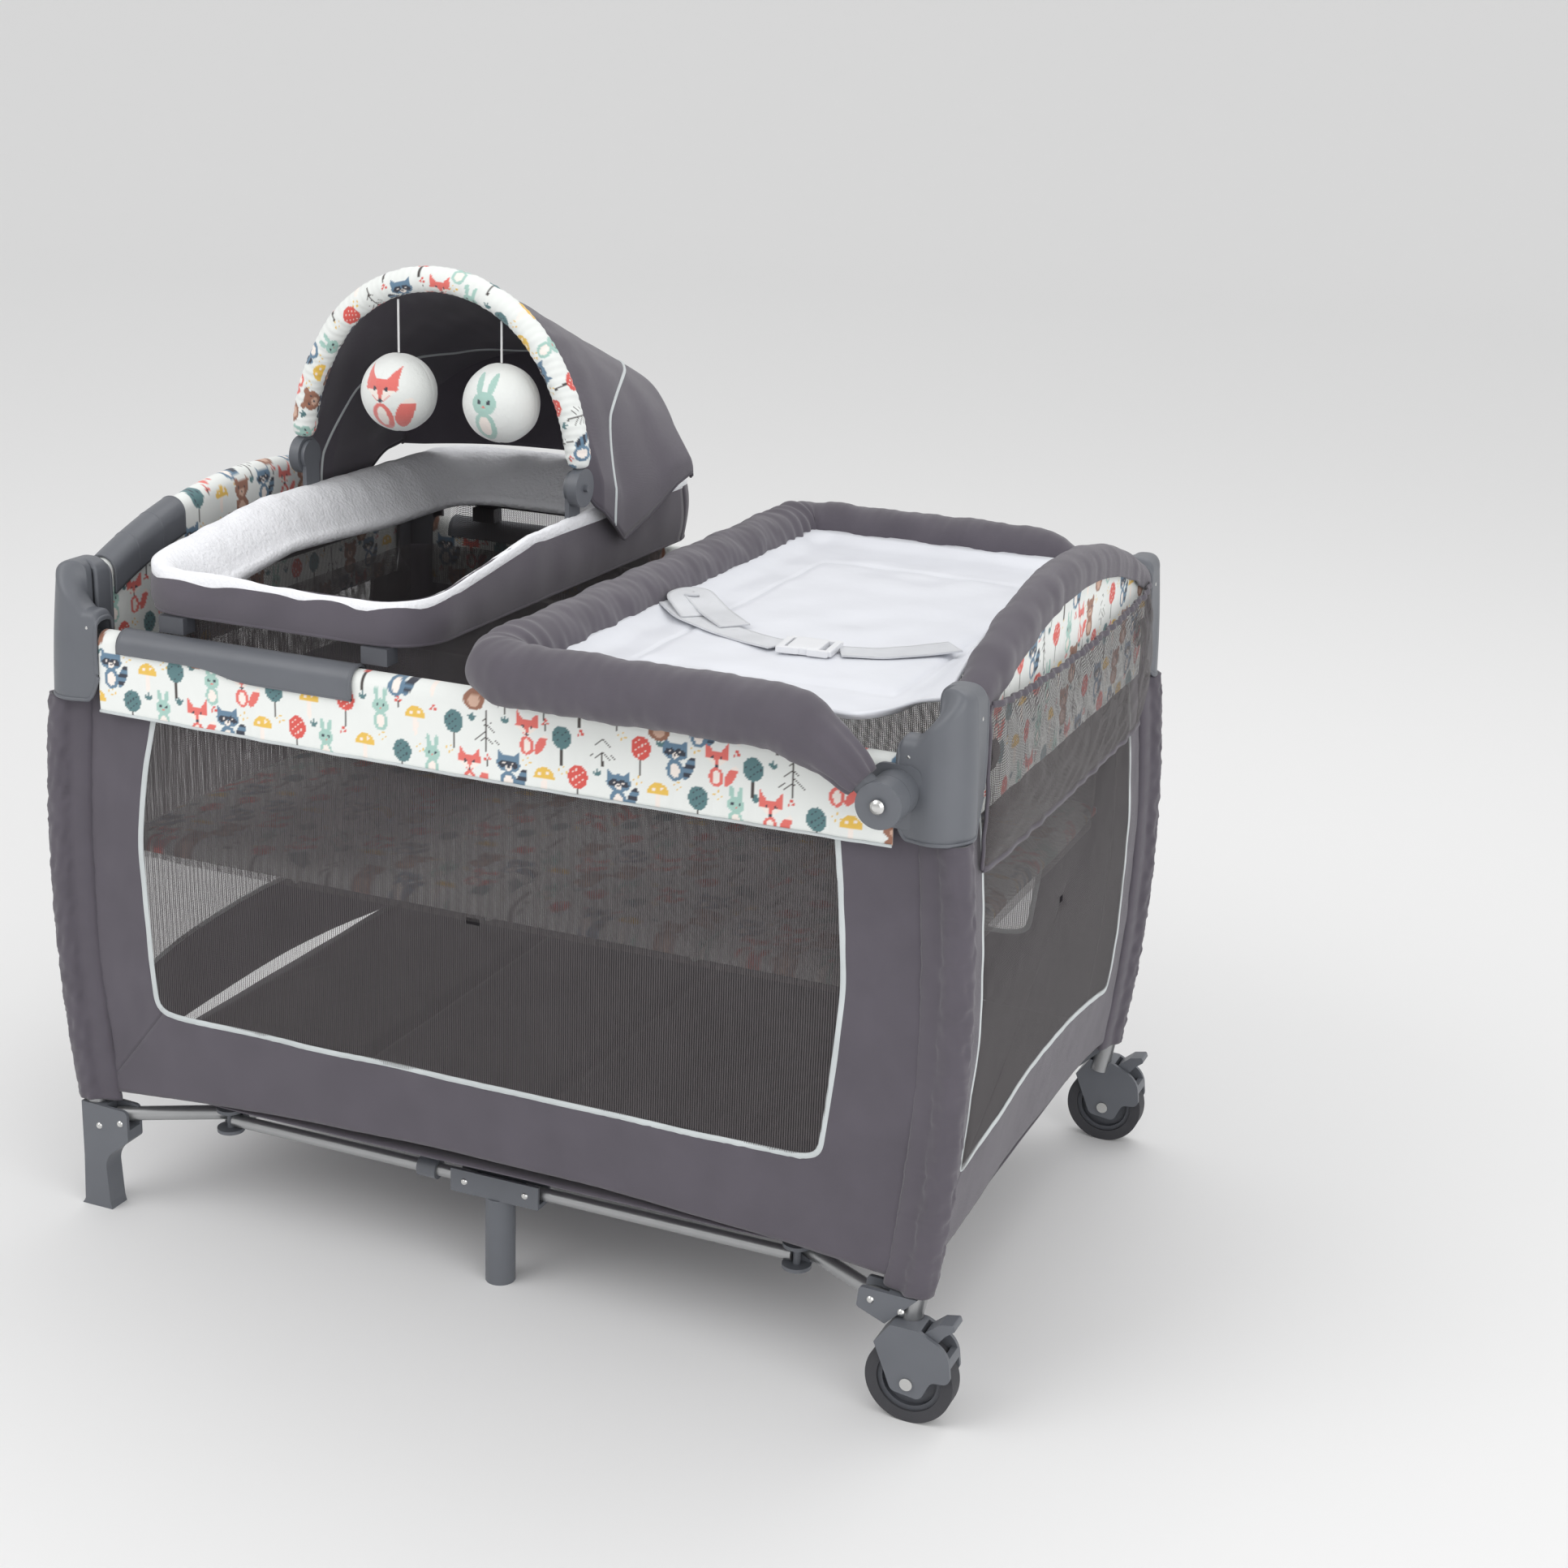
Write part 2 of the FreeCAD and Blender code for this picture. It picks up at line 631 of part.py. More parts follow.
# ---------------------------------------------------------------- wheels
wheel_r, wheel_w = named("wheel_radius"), named("wheel_width")
wheel_x, wheel_y = yard_x + named("wheel_outset"), yard_y + named("wheel_side_gap")
gap = named("running_gap")
axle_radius = Size(4.0)
for side, sign in (("front", -1), ("back", 1)):
    y = sign * wheel_y
    x0 = post_x(post_foot)
    half = wheel_w / 2
    tyre = cut(rod("y", wheel_r, wheel_w, wheel_x, y - half, wheel_r),
               rod("y", wheel_r - 12, wheel_w + 2, wheel_x, y - half - 1, wheel_r))
    node(f"tyre_{side}", tyre)
    disc = rod("y", wheel_r - 12, wheel_w - 6, wheel_x, y - half + 3, wheel_r)
    dish_out = cut(rod("y", wheel_r - 17, 6, wheel_x, y - half + 2, wheel_r),
                   rod("y", 12, 8, wheel_x, y - half + 1, wheel_r))
    dish_in = cut(rod("y", wheel_r - 17, 6, wheel_x, y + half - 8, wheel_r),
                  rod("y", 12, 8, wheel_x, y + half - 9, wheel_r))
    boss = rod("y", 11, wheel_w + 2, wheel_x, y - half - 1, wheel_r)
    bore = rod("y", axle_radius + gap, wheel_w + 6, wheel_x, y - half - 3, wheel_r)
    node(f"wheel_disc_{side}", cut(fuse(cut(disc, dish_out, dish_in), boss), bore))
    cheek = half + 1.5
    fork = cheek + 4
    pedal_z = wheel_r + 49
    outline = [(wheel_x - 16, 34), (wheel_x + 14, 30),
               (wheel_x + 24, 52), (wheel_x + 44, 54), (wheel_x + 40, 88), (wheel_x + 8, 104),
               (wheel_x + 2, 129), (wheel_x - 24, 129), (wheel_x - 58, 130), (wheel_x - 60, 108),
               (wheel_x - 30, 96), (wheel_x - 36, 82)]
    fork_body = plate("XZ", y - fork, y + fork, outline[:6] + [(wheel_x - 20, 104), outline[-1]],
                      [((0, 1), 8), ((2, 3), 8), ((4,), 26), ((5,), 14)])
    clevis = plate("XZ", sign * yard_y - 14, sign * yard_y + 14, outline[6:11],
                   [((1, 2, 3), 4)])
    body = fuse(fork_body, clevis)
    tyre_room = rod("y", wheel_r + 4, 2 * cheek, wheel_x, y - cheek, wheel_r)
    post_room = bowed_bar(1, sign, post_radius + 0.2, post_foot - 0.2, post_foot + 80)
    slot = box(wheel_x - 70, wheel_x - 29, sign * yard_y - 9, sign * yard_y + 9, arm_z - 9, 150)
    pin_room = rod("y", axle_radius, 2 * fork + 6, wheel_x, y - fork - 3, wheel_r)
    pedal_pin = rod("y", 3, 2 * fork, wheel_x + 18, y - fork, pedal_z)
    pedal_bore = rod("y", 3 + gap, 2 * fork + 2, wheel_x + 18, y - fork - 1, pedal_z)
    pedal_room = box(wheel_x + 10, wheel_x + 60, y - 12, y + 12, 80, 140)
    node(f"wheel_housing_{side}",
         cut(body, tyre_room, post_room, slot, arm_room[(1, sign)], pin_room, pedal_room,
             pedal_bore))
    axle = fuse(rod("y", axle_radius, 2 * fork + 4, wheel_x, y - fork - 2, wheel_r),
                rod("y", 6.5, 2.5, wheel_x, y - fork - 2.5, wheel_r),
                rod("y", 6.5, 2.5, wheel_x, y + fork, wheel_r))
    node("wheel_axles", axle)
    lever = [(wheel_x + 14, 91), (wheel_x + 26, 91), (wheel_x + 34, 102), (wheel_x + 44, 110),
             (wheel_x + 42, 116), (wheel_x + 28, 113), (wheel_x + 14, 101)]
    pedal = plate("XZ", y - 11, y + 11, lever, [((3, 4), 2)])
    node(f"brake_pedal_{side}", fuse(pedal, pedal_pin))
    for dx, dz in ((-46, 118), (-14, 112)):
        rivet(sign * (yard_y + 14), wheel_x + dx, dz, sign)

# ---------------------------------------------------------------- base frame under the floor
arms, knuckles, side_tubes = [], [], []
for corner, sx, sy in CORNERS:
    arms.append(shape(tube(arm_lines[(sx, sy)], arm_r, arm_r - 1.2)))
    ears = []
    for level in (-14, 10):
        ears.append(rod("z", 15, 4, sx * knuckle_x, sy * knuckle_y, arm_z + level))
    saddle = box(sx * knuckle_x - 12, sx * knuckle_x + 12, sy * (knuckle_y - 18) - 12,
                 sy * (knuckle_y - 18) + 12, arm_z - 14, arm_z + 14)
    joined = fuse(*ears, saddle, rod("z", 4, 28, sx * knuckle_x, sy * knuckle_y, arm_z - 14))
    side_room = rod("x", 7.6, 40, sx * knuckle_x - 20, sy * knuckle_y, arm_z - 1)
    hinge_pin = rod("z", 4, 28, sx * knuckle_x, sy * knuckle_y, arm_z - 14)
    knuckles.append(fuse(cut(joined, arm_room[(sx, sy)], side_room), hinge_pin))
    length = knuckle_x - 5 - 30
    start = 30 if sx > 0 else -knuckle_x + 5
    side_tubes.append(rod("x", 7, length, start, sy * knuckle_y, arm_z - 1))
node("base_tubes", *arms, *side_tubes)
node("base_knuckles", *knuckles)

hub = cut(plate("XY", arm_z - 16, arm_z + 16, [(-62, -34), (62, -34), (62, 34), (-62, 34)],
                [((0, 1, 2, 3), 22)]),
          *arm_room.values(),
          box(-34, 34, -60, 60, arm_z - 20, arm_z + 6), box(-48, 48, -27, 27, arm_z - 20, arm_z + 9))
node("base_hub", hub)

tee_reach = Size(52.0)
leg_radius = Size(16.0)
for side, sign in (("front", -1), ("back", 1)):
    y = sign * knuckle_y
    channel = cut(box(-tee_reach, tee_reach, y - 14, y + 14, arm_z - 14, arm_z + 12),
                  box(-tee_reach - 1, tee_reach + 1, y - 10.5, y + 10.5, arm_z - 9, arm_z + 13))
    leg = cut(rod("z", leg_radius, arm_z - 14, 0, y, 0),
              rod("z", leg_radius - 3, arm_z - 24, 0, y, -1))
    node("middle_feet", fuse(channel, leg))
    for dx in (-36, 36):
        rivet(y + sign * 14, dx, arm_z - 1, sign)

clips = []
for sign in (-1, 1):
    ring = cut(rod("x", 11, 22, -96, sign * knuckle_y, arm_z - 1),
               rod("x", 7.3, 24, -97, sign * knuckle_y, arm_z - 1))
    tab = box(-96, -74, sign * knuckle_y - 2, sign * knuckle_y + 2, arm_z + 9, floor_z - 4)
    clips.append(fuse(ring, tab))
node("floor_clips", *clips)

# ---------------------------------------------------------------- end roll and organizer
roll_out, roll_in = band_out + 9, band_out + 0.6
roll_skirt = 12
x = end_x
ring = cut(rod("x", end_bend + roll_out, 2 * roll_out, x - roll_out, 0, end_centre),
           rod("x", end_bend - roll_skirt, 2 * roll_out, x - roll_out, 0, end_centre))
roll = common(ring, box(x - roll_out, x + roll_out, -band_reach, band_reach,
                        end_crest - 120, end_crest + 60))
core = common(rod("x", end_bend + roll_in, 2 * roll_in, x - roll_in, 0, end_centre),
              box(x - roll_in, x + roll_in, -band_reach - 2, band_reach + 2,
                  end_crest - 200, end_crest + 60))
node("end_roll", cut(roll, core))

pocket_x, pocket_reach = x + band_out + 5, band_reach - 10
pocket_low, pocket_top, pocket_depth = rail_z - 107, rail_z + 40, Size(28.0)
node("organizer_pocket",
     cut(box(pocket_x, pocket_x + pocket_depth, -pocket_reach, pocket_reach,
             pocket_low, pocket_top),
         box(pocket_x + 2, pocket_x + pocket_depth - 2, -pocket_reach + 2, pocket_reach - 2,
             pocket_low + 2, pocket_top + 1)))
straps = [box(x + band_out + 0.3, x + band_out + 4.7, sign * (pocket_reach - 13) - 12,
              sign * (pocket_reach - 13) + 12, rail_z - 12, rail_z + 12) for sign in (-1, 1)]
node("organizer_pocket", *straps)

# ---------------------------------------------------------------- changing table
left, side_y = named("changer_left"), yard_y + named("changer_overhang")
table_z, rim = over_rail("changer_height"), named("changer_rim")
hinge_x, hinge_z, hinge_r = yard_x - named("hinge_setback"), over_rail("hinge_height"), named("hinge_radius")
table_tube = Size(8.0)
mount_face = bracket_out_y + 0.4
arm_face = side_y - 12
mounts = []
for sign in (-1, 1):
    def along_y(radius, near, far):
        """A disc about the hinge axis between two distances from the middle."""
        start = near if sign > 0 else -far
        return rod("y", radius, far - near, hinge_x, start, hinge_z)
    flange = plate("XZ", mount_face if sign > 0 else -mount_face - 4,
                   mount_face + 4 if sign > 0 else -mount_face,
                   [(hinge_x - 24, hinge_z - 34), (hinge_x + 24, hinge_z - 34),
                    (hinge_x + 24, hinge_z + 26), (hinge_x - 24, hinge_z + 26)],
                   [((0, 1, 2, 3), 12)])
    boss = along_y(hinge_r, mount_face + 3, arm_face - 0.4)
    pin = along_y(Size(4.0), mount_face + 1, side_y + 15)
    head = along_y(Size(7.0), side_y + 12.4, side_y + 15)
    mounts.append(fuse(flange, boss, pin, head))
node("changer_mounts", *mounts)

slope_x = hinge_x - 78
shoulders = {}
for sign, side in ((-1, "front"), (1, "back")):
    disc = rod("y", hinge_r, 24, hinge_x, arm_face if sign > 0 else -arm_face - 24, hinge_z)
    lean = Rotation(Vector(0, 1, 0),
                    180 + math.degrees(math.atan2(float(table_z - hinge_z),
                                                  float(hinge_x - slope_x))))
    neck = document.addObject("Part::Cylinder", helper_name("Neck"))
    bind(neck, "Radius", table_tube + 3.5)
    neck.Height = 44
    put(neck, hinge_x, sign * side_y, hinge_z, lean * AXES["x"])
    hole = rod("y", 4 + gap, 40, hinge_x, arm_face - 5 if sign > 0 else -arm_face - 35, hinge_z)
    tip = document.addObject("Part::Cylinder", helper_name("Socket"))
    bind(tip, "Radius", table_tube)
    tip.Height = 90
    put(tip, hinge_x, sign * side_y, hinge_z, lean * AXES["x"])
    away = rod("y", 16, 60, hinge_x, sign * side_y - 30, hinge_z)
    node("changer_arms", cut(fuse(disc, neck), hole, cut(tip, away)))

slope = math.atan2(float(table_z - hinge_z), float(hinge_x - slope_x))
lead = Vector(-math.cos(slope), 0, math.sin(slope))
route = [point(hinge_x, -side_y, hinge_z) + lead * 18, point(slope_x, -side_y, table_z),
         point(left, -side_y, table_z), point(left, side_y, table_z),
         point(slope_x, side_y, table_z), point(hinge_x, side_y, hinge_z) + lead * 18]
node("changer_frame", shape(tube(rounded_path(route, 55), table_tube)))
pad_route = [route[0] + lead * 28] + route[1:-1] + [route[-1] + lead * 28]
node("changer_rim", shape(tube(rounded_path(pad_route, 55), rim).cut(
    tube(rounded_path(route, 55), table_tube + 0.2))))
inner_y = side_y - rim
tray_low, tray_top = table_z - 14, table_z - 6
tray_left, tray_right, tongue = left + rim + 0.3, hinge_x - 16, band_reach - 7.5
node("changer_tray", plate("XY", tray_low, tray_top, [
    (tray_left, -inner_y + 0.3), (tray_right, -inner_y + 0.3), (tray_right, -tongue),
    (x - roll_out - 2, -tongue), (x - roll_out - 2, tongue), (tray_right, tongue),
    (tray_right, inner_y - 0.3), (tray_left, inner_y - 0.3)], [((0, 7), 26)]))
strap_y, strap_half = Size(-110.0), Size(19.0)
buckle_x, buckle_half = Size(266.0), Size(30.0)
web_low, web_top = tray_top + 0.2, tray_top + 1.8
node("changer_strap",
     box(left + rim + 4, buckle_x - buckle_half - 0.3, strap_y - strap_half,
         strap_y + strap_half, web_low, web_top),
     box(buckle_x + buckle_half + 0.3, 418, strap_y - strap_half, strap_y + strap_half,
         web_low, web_top))
frame_block = plate("XY", web_low, web_low + 9,
                    [(buckle_x - buckle_half, strap_y - 24), (buckle_x + buckle_half, strap_y - 24),
                     (buckle_x + buckle_half, strap_y + 24),
                     (buckle_x - buckle_half, strap_y + 24)], [((0, 1, 2, 3), 8)])
slots = [box(buckle_x + side * 20 - 4, buckle_x + side * 20 + 4, strap_y - strap_half,
             strap_y + strap_half, web_low - 1, web_low + 12) for side in (-1, 1)]
node("changer_buckle", cut(frame_block, *slots))

# ---------------------------------------------------------------- napper
nap_x, nap_w, nap_l = named("napper_x"), named("napper_half_width"), yard_y - named("napper_end_gap")
nap_front, nap_back = over_rail("napper_front_rim"), over_rail("napper_back_rim")
skirt, nap_depth = over_rail("napper_skirt"), named("napper_depth")
panel_thick = Size(14.0)


def rounded_block(inset, low, high, radius):
    """A block of the napper's plan, drawn in by an inset, with round corners."""
    w, l = nap_w - inset, nap_l - inset
    return plate("XY", low, high, [(nap_x - w, -l), (nap_x + w, -l), (nap_x + w, l),
                                   (nap_x - w, l)], [((0, 1, 2, 3), radius)])


def side_profile(drop, low):
    """The napper's side view: the rim rises from the front to the back."""
    return plate("YZ", nap_x - 200, nap_x + 200,
                 [(-nap_l - 5, low), (nap_l + 5, low), (nap_l + 5, nap_back - drop),
                  (-100, nap_back - drop), (-nap_l - 5, nap_front - drop)])


rim_height = 26
cheek_slots = [box(nap_x + sign * (nap_w - 9) - 5.5, nap_x + sign * (nap_w - 9) + 5.5,
                   -14, 14, nap_back - 57, nap_back + 30) for sign in (-1, 1)]
node("napper_panel", cut(common(cut(rounded_block(0, skirt, nap_back + 25, 60),
                                    rounded_block(panel_thick, skirt - 1, nap_back + 26, 48)),
                                side_profile(rim_height + 1, skirt)), *cheek_slots))
# The plush collar is wide on the left and at the back, and narrow elsewhere.
collar_wide, collar_thin = named("collar_wide"), named("collar_thin")
basket_mouth = plate("XY", skirt - 1, nap_back + 26, [
    (nap_x - nap_w + collar_wide, -nap_l + collar_thin), (nap_x + nap_w - collar_thin, -nap_l + collar_thin),
    (nap_x + nap_w - collar_thin, nap_l - collar_wide - 12),
    (nap_x - nap_w + collar_wide, nap_l - collar_wide - 12)], [((0, 1, 2, 3), 34)])
plush = cut(rounded_block(1, skirt, nap_back + 25, 60), basket_mouth)
node("napper_rim", cut(common(plush, cut(side_profile(0, skirt),
                                         side_profile(rim_height, skirt - 10))), *cheek_slots))
tub_top = nap_front - rim_height - 4
tub_low = tub_top - nap_depth + 26
shell = cut(rounded_block(24, tub_low, tub_top, 40), rounded_block(26, tub_low + 2, tub_top + 1, 38))
node("napper_tub", shell)
node("napper_pad", rounded_block(28, tub_low + 2.4, tub_low + 18, 36))
frame_z = tub_top - 6
fr = 4.5
loop_w, loop_l = nap_w - 19, nap_l - 19
corners = [point(nap_x, -loop_l, frame_z), point(nap_x + loop_w, -loop_l, frame_z),
           point(nap_x + loop_w, loop_l, frame_z), point(nap_x - loop_w, loop_l, frame_z),
           point(nap_x - loop_w, -loop_l, frame_z), point(nap_x, -loop_l, frame_z)]
node("napper_frame", shape(tube(rounded_path(corners, 42), fr)))
hooks = []
for sx in (-1, 1):
    for sign in (-1, 1):
        hx = nap_x + sx * 120
        hy = sign * (yard_y - 14)
        hooks.append(box(hx - 15, hx + 15, hy - 10, hy + 10, rail_z + guard_out + 1.2, skirt - 0.5))
node("napper_frame", *hooks)

# ---------------------------------------------------------------- canopy
pivot_z, rise, roll_r = over_rail("canopy_pivot"), named("canopy_rise"), named("canopy_roll")
span = nap_w
disc_r = Size(21.0)


arch_a, arch_b = float(span), float(rise)
flank_bend = arch_b * arch_b / arch_a
crown_up = ((flank_bend - arch_b) ** 2 - (flank_bend - arch_a) ** 2) / (2 * (arch_b - flank_bend))
crown_bend = arch_b - crown_up
flank_turn = math.atan2(crown_up, flank_bend - arch_a)


def bow_spot(centre_x, centre_z, bend, angle):
    """A point on the bow's line, given an arc's centre, bend and angle."""
    return point(nap_x + centre_x + bend * math.cos(angle), 0,
                 pivot_z + centre_z + bend * math.sin(angle))


def bow_height(x):
    """Height of the bow's line above a point of the napper, near its crown."""
    return float(pivot_z) + crown_up + math.sqrt(crown_bend ** 2 - float(x - nap_x) ** 2)


# A three-centred arch: two flat flanks and a rounder crown.
flank = arch_a - flank_bend
right_foot = bow_spot(flank, 0, flank_bend, 0)
right_mid = bow_spot(flank, 0, flank_bend, flank_turn / 2)
right_join = bow_spot(flank, 0, flank_bend, flank_turn)
crown = bow_spot(0, crown_up, crown_bend, math.pi / 2)
left_join = bow_spot(0, crown_up, crown_bend, math.pi - flank_turn)
left_mid = bow_spot(-flank, 0, flank_bend, math.pi - flank_turn / 2)
left_foot = bow_spot(-flank, 0, flank_bend, math.pi)
bow_line = path(right_foot, ("arc", right_mid, right_join), ("arc", crown, left_join),
                ("arc", left_mid, left_foot))
bow = tube(bow_line, 5)
eyes = []
for sign in (-1, 1):
    cx = nap_x + sign * span
    eyes.append(cut(rod("x", disc_r, 12, cx - 6, 0, pivot_z),
                    rod("x", 4 + gap, 20, cx - 10, 0, pivot_z)))
pin_room = [rod("x", 4 + gap, 20, nap_x + sign * span - 10, 0, pivot_z) for sign in (-1, 1)]
node("canopy_bow", cut(fuse(shape(bow), *eyes), *pin_room))
sleeve_blank = tube(bow_line, roll_r, 5.2)
trim = box(nap_x - span - 40, nap_x + span + 40, -40, 40, pivot_z - 60, pivot_z + disc_r + 1)
node("canopy_roll", cut(shape(sleeve_blank), trim))
supports = []
for sign in (-1, 1):
    cx = nap_x + sign * span
    inner = cx - sign * 6.4
    cheek = plate("YZ", inner - 5 if sign > 0 else inner, inner if sign > 0 else inner + 5,
                  [(-13, nap_back - 55), (13, nap_back - 55), (13, pivot_z), (-13, pivot_z)])
    head = rod("x", 17, 5, inner - 5 if sign > 0 else inner, 0, pivot_z)
    pin = rod("x", 4, 20, inner - 3 if sign > 0 else inner - 17, 0, pivot_z)
    supports.append(fuse(cheek, head, pin))
node("canopy_mounts", *supports)


def arch_face(y, half, low, top, shift=0):
    """A tall arch-shaped wire at a distance y: straight legs and a rounded head."""
    half, low, top = float(half), float(low), float(top)
    shoulder = low + (top - low) * 0.25
    a = point(nap_x - half, y, low)
    b = point(nap_x - half, y, shoulder)
    c = point(nap_x, y, top)
    d = point(nap_x + half, y, shoulder)
    e = point(nap_x + half, y, low)
    return path(a, b, ("arc", c, d), e, a)


hood_base = nap_back + 14
hood_out = Part.makeLoft([arch_face(23, span - 4, hood_base, pivot_z + rise - 6),
                          arch_face(170, span - 2, hood_base, pivot_z + 150),
                          arch_face(290, span - 14, hood_base, pivot_z + 90)], True, True)
hood_in = Part.makeLoft([arch_face(22, span - 6, hood_base - 5, pivot_z + rise - 8),
                         arch_face(170, span - 4, hood_base - 5, pivot_z + 148),
                         arch_face(288, span - 16, hood_base - 5, pivot_z + 88)], True, True)
node("canopy_hood", shape(hood_out.cut(hood_in)))

toy_r, toy_z, toy_gap = named("toy_radius"), over_rail("toy_height"), named("toy_spread")
toy_mid = nap_x + 15
for side, sign in (("left", -1), ("right", 1)):
    tx = toy_mid + sign * toy_gap
    node(f"toy_{side}", ball(toy_r, tx, 0, toy_z))
    string_top = Size(bow_height(tx)) - roll_r - 3.4
    node(f"toy_string_{side}", rod("z", 1.2, string_top - toy_z - toy_r - 0.1, tx, 0,
                                   toy_z + toy_r + 0.1))
    print(f"toy {side} hangs from x {float(tx):.1f} z {float(string_top):.1f}")

# ---------------------------------------------------------------- rivets
for corner, sx, sy in CORNERS:
    rivet(sy * bracket_out_y, sx * (bracket_out_x - 26), rail_z - 4, sy, 5)
node("frame_rivets", *rivets)

# ---------------------------------------------------------------- check and write
NODES = {}
for label, pieces in PIECES.items():
    NODES[label] = pieces[0] if len(pieces) == 1 else group(*pieces)
    NODES[label].Label = label
document.recompute()
os.makedirs("parts", exist_ok=True)
faults = [f"{thing.Name} {thing.State}" for thing in document.Objects
          if "Invalid" in thing.State or "Error" in thing.State]
if faults:
    raise RuntimeError("failed objects: " + ", ".join(faults))
for label, thing in NODES.items():
    if thing.Shape.isNull() or not thing.Shape.isValid() or thing.Shape.Volume <= 0:
        raise RuntimeError(f"bad shape in {label}")
for label, thing in NODES.items():
    thing.Shape.exportStep(f"parts/{label}.step")
    print(f"{label:22s} {len(thing.Shape.Solids):2d} solids {thing.Shape.Volume / 1000:9.1f} cm3")
print(len(NODES), "nodes")
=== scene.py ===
# %% [markdown]
# # Travel play yard
# A folding yard with mesh walls, a hung bassinet, a lift-off napper under a canopy, and a
# changing table that flips over the end rail. The hard frame comes from the CAD model. This
# lesson sews the cloth, the padding and the moulded plastic around it, piece by piece.

# %% Start from the CAD frame
import json
import math
import bpy
import bmesh
import numpy as np
from mathutils import Matrix, Vector

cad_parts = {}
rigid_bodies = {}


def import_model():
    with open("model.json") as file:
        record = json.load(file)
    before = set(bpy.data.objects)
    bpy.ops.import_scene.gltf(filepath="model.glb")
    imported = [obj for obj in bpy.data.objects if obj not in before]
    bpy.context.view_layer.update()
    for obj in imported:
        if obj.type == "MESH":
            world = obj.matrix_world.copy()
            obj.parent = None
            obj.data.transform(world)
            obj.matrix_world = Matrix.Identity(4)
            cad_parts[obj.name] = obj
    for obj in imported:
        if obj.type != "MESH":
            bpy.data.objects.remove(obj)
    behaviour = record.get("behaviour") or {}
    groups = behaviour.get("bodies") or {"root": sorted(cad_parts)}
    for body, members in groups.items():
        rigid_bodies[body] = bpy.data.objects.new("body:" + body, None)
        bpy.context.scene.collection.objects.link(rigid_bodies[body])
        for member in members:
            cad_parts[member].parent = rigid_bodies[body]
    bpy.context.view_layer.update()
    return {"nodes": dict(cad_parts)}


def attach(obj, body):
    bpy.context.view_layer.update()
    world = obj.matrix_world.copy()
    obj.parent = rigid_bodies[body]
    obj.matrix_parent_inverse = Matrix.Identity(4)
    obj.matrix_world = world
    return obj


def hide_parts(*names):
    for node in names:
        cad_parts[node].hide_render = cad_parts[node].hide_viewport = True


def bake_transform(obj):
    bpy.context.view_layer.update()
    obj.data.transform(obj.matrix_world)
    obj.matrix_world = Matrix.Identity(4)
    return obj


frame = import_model()

# %% [markdown]
# ## Camera, lights and floor
# A product picture wants a long lens and a big soft light. The camera stands to the right of
# the front side and a little above the rails. The lens is given by a focal length on a 36 mm
# sensor, and the camera is rolled by two degrees so that the posts lean as they should.

# %% Camera
azimuth, elevation, roll = math.radians(22.27), math.radians(18.0), math.radians(2.149)
ahead = np.array([-math.sin(azimuth) * math.cos(elevation),
                  math.cos(azimuth) * math.cos(elevation), -math.sin(elevation)])
level = np.cross(ahead, [0, 0, 1.0])
level /= np.linalg.norm(level)
upward = np.cross(level, ahead)
right = level * math.cos(roll) + upward * math.sin(roll)
up = upward * math.cos(roll) - level * math.sin(roll)
camera = bpy.data.objects.new("camera", bpy.data.cameras.new("camera"))
camera.data.lens = 36.0 * 3010.4 / 1932
camera.data.sensor_width = 36.0
camera.data.clip_end = 50
turn = Matrix((right, up, -ahead)).transposed().to_4x4()
camera.matrix_world = Matrix.Translation((1.1364, -2.3176, 1.3157)) @ turn
bpy.context.scene.collection.objects.link(camera)
bpy.context.scene.camera = camera
print("lens", round(camera.data.lens, 2), "mm")

# %% Lights and floor
world = bpy.data.worlds.new("studio")
world.use_nodes = True
world.node_tree.nodes["Background"].inputs["Color"].default_value = (1, 1, 1, 1)
world.node_tree.nodes["Background"].inputs["Strength"].default_value = 0.80
bpy.context.scene.world = world
bpy.context.scene.view_settings.view_transform = "Standard"


def softbox(name, place, aim, size, power):
    """A square area lamp at place, turned towards aim."""
    lamp = bpy.data.lights.new(name, "AREA")
    lamp.size, lamp.energy = size, power
    item = bpy.data.objects.new(name, lamp)
    item.matrix_world = (Matrix.Translation(place)
                         @ (Vector(aim) - Vector(place)).to_track_quat("-Z", "Y").to_matrix().to_4x4())
    bpy.context.scene.collection.objects.link(item)


softbox("key", (-1.8, -2.6, 3.4), (0, 0, 0.5), 2.6, 42)
softbox("fill", (3.2, -2.2, 1.8), (0, 0, 0.5), 3.0, 44)
softbox("top", (0.4, 1.6, 3.6), (0, 0, 0.6), 2.4, 20)
floor_mesh = bpy.data.meshes.new("studio_floor")
rings = [(0.01, 0.0), (9.0, 0.0)]
rings += [(9 + 5 * math.sin(a), 5 - 5 * math.cos(a)) for a in np.linspace(0.1, 1.5, 15)]
turns = np.linspace(0, 6.22, 100)
floor_mesh.from_pydata([(r * math.cos(a), r * math.sin(a), z) for r, z in rings for a in turns], [],
                       [(i * 100 + j, i * 100 + 100 + j,
                         i * 100 + 100 + (j + 1) % 100, i * 100 + (j + 1) % 100)
                        for i in range(len(rings) - 1) for j in range(100)])
floor_mesh.shade_smooth()
studio_floor = bpy.data.objects.new("studio_floor", floor_mesh)
bpy.context.scene.collection.objects.link(studio_floor)
pale = bpy.data.materials.new("pale_floor")
pale.use_nodes = True
pale.node_tree.nodes["Principled BSDF"].inputs["Base Color"].default_value = (0.86, 0.86, 0.86, 1)
pale.node_tree.nodes["Principled BSDF"].inputs["Roughness"].default_value = 0.9
floor_mesh.materials.append(pale)
print("studio ready")

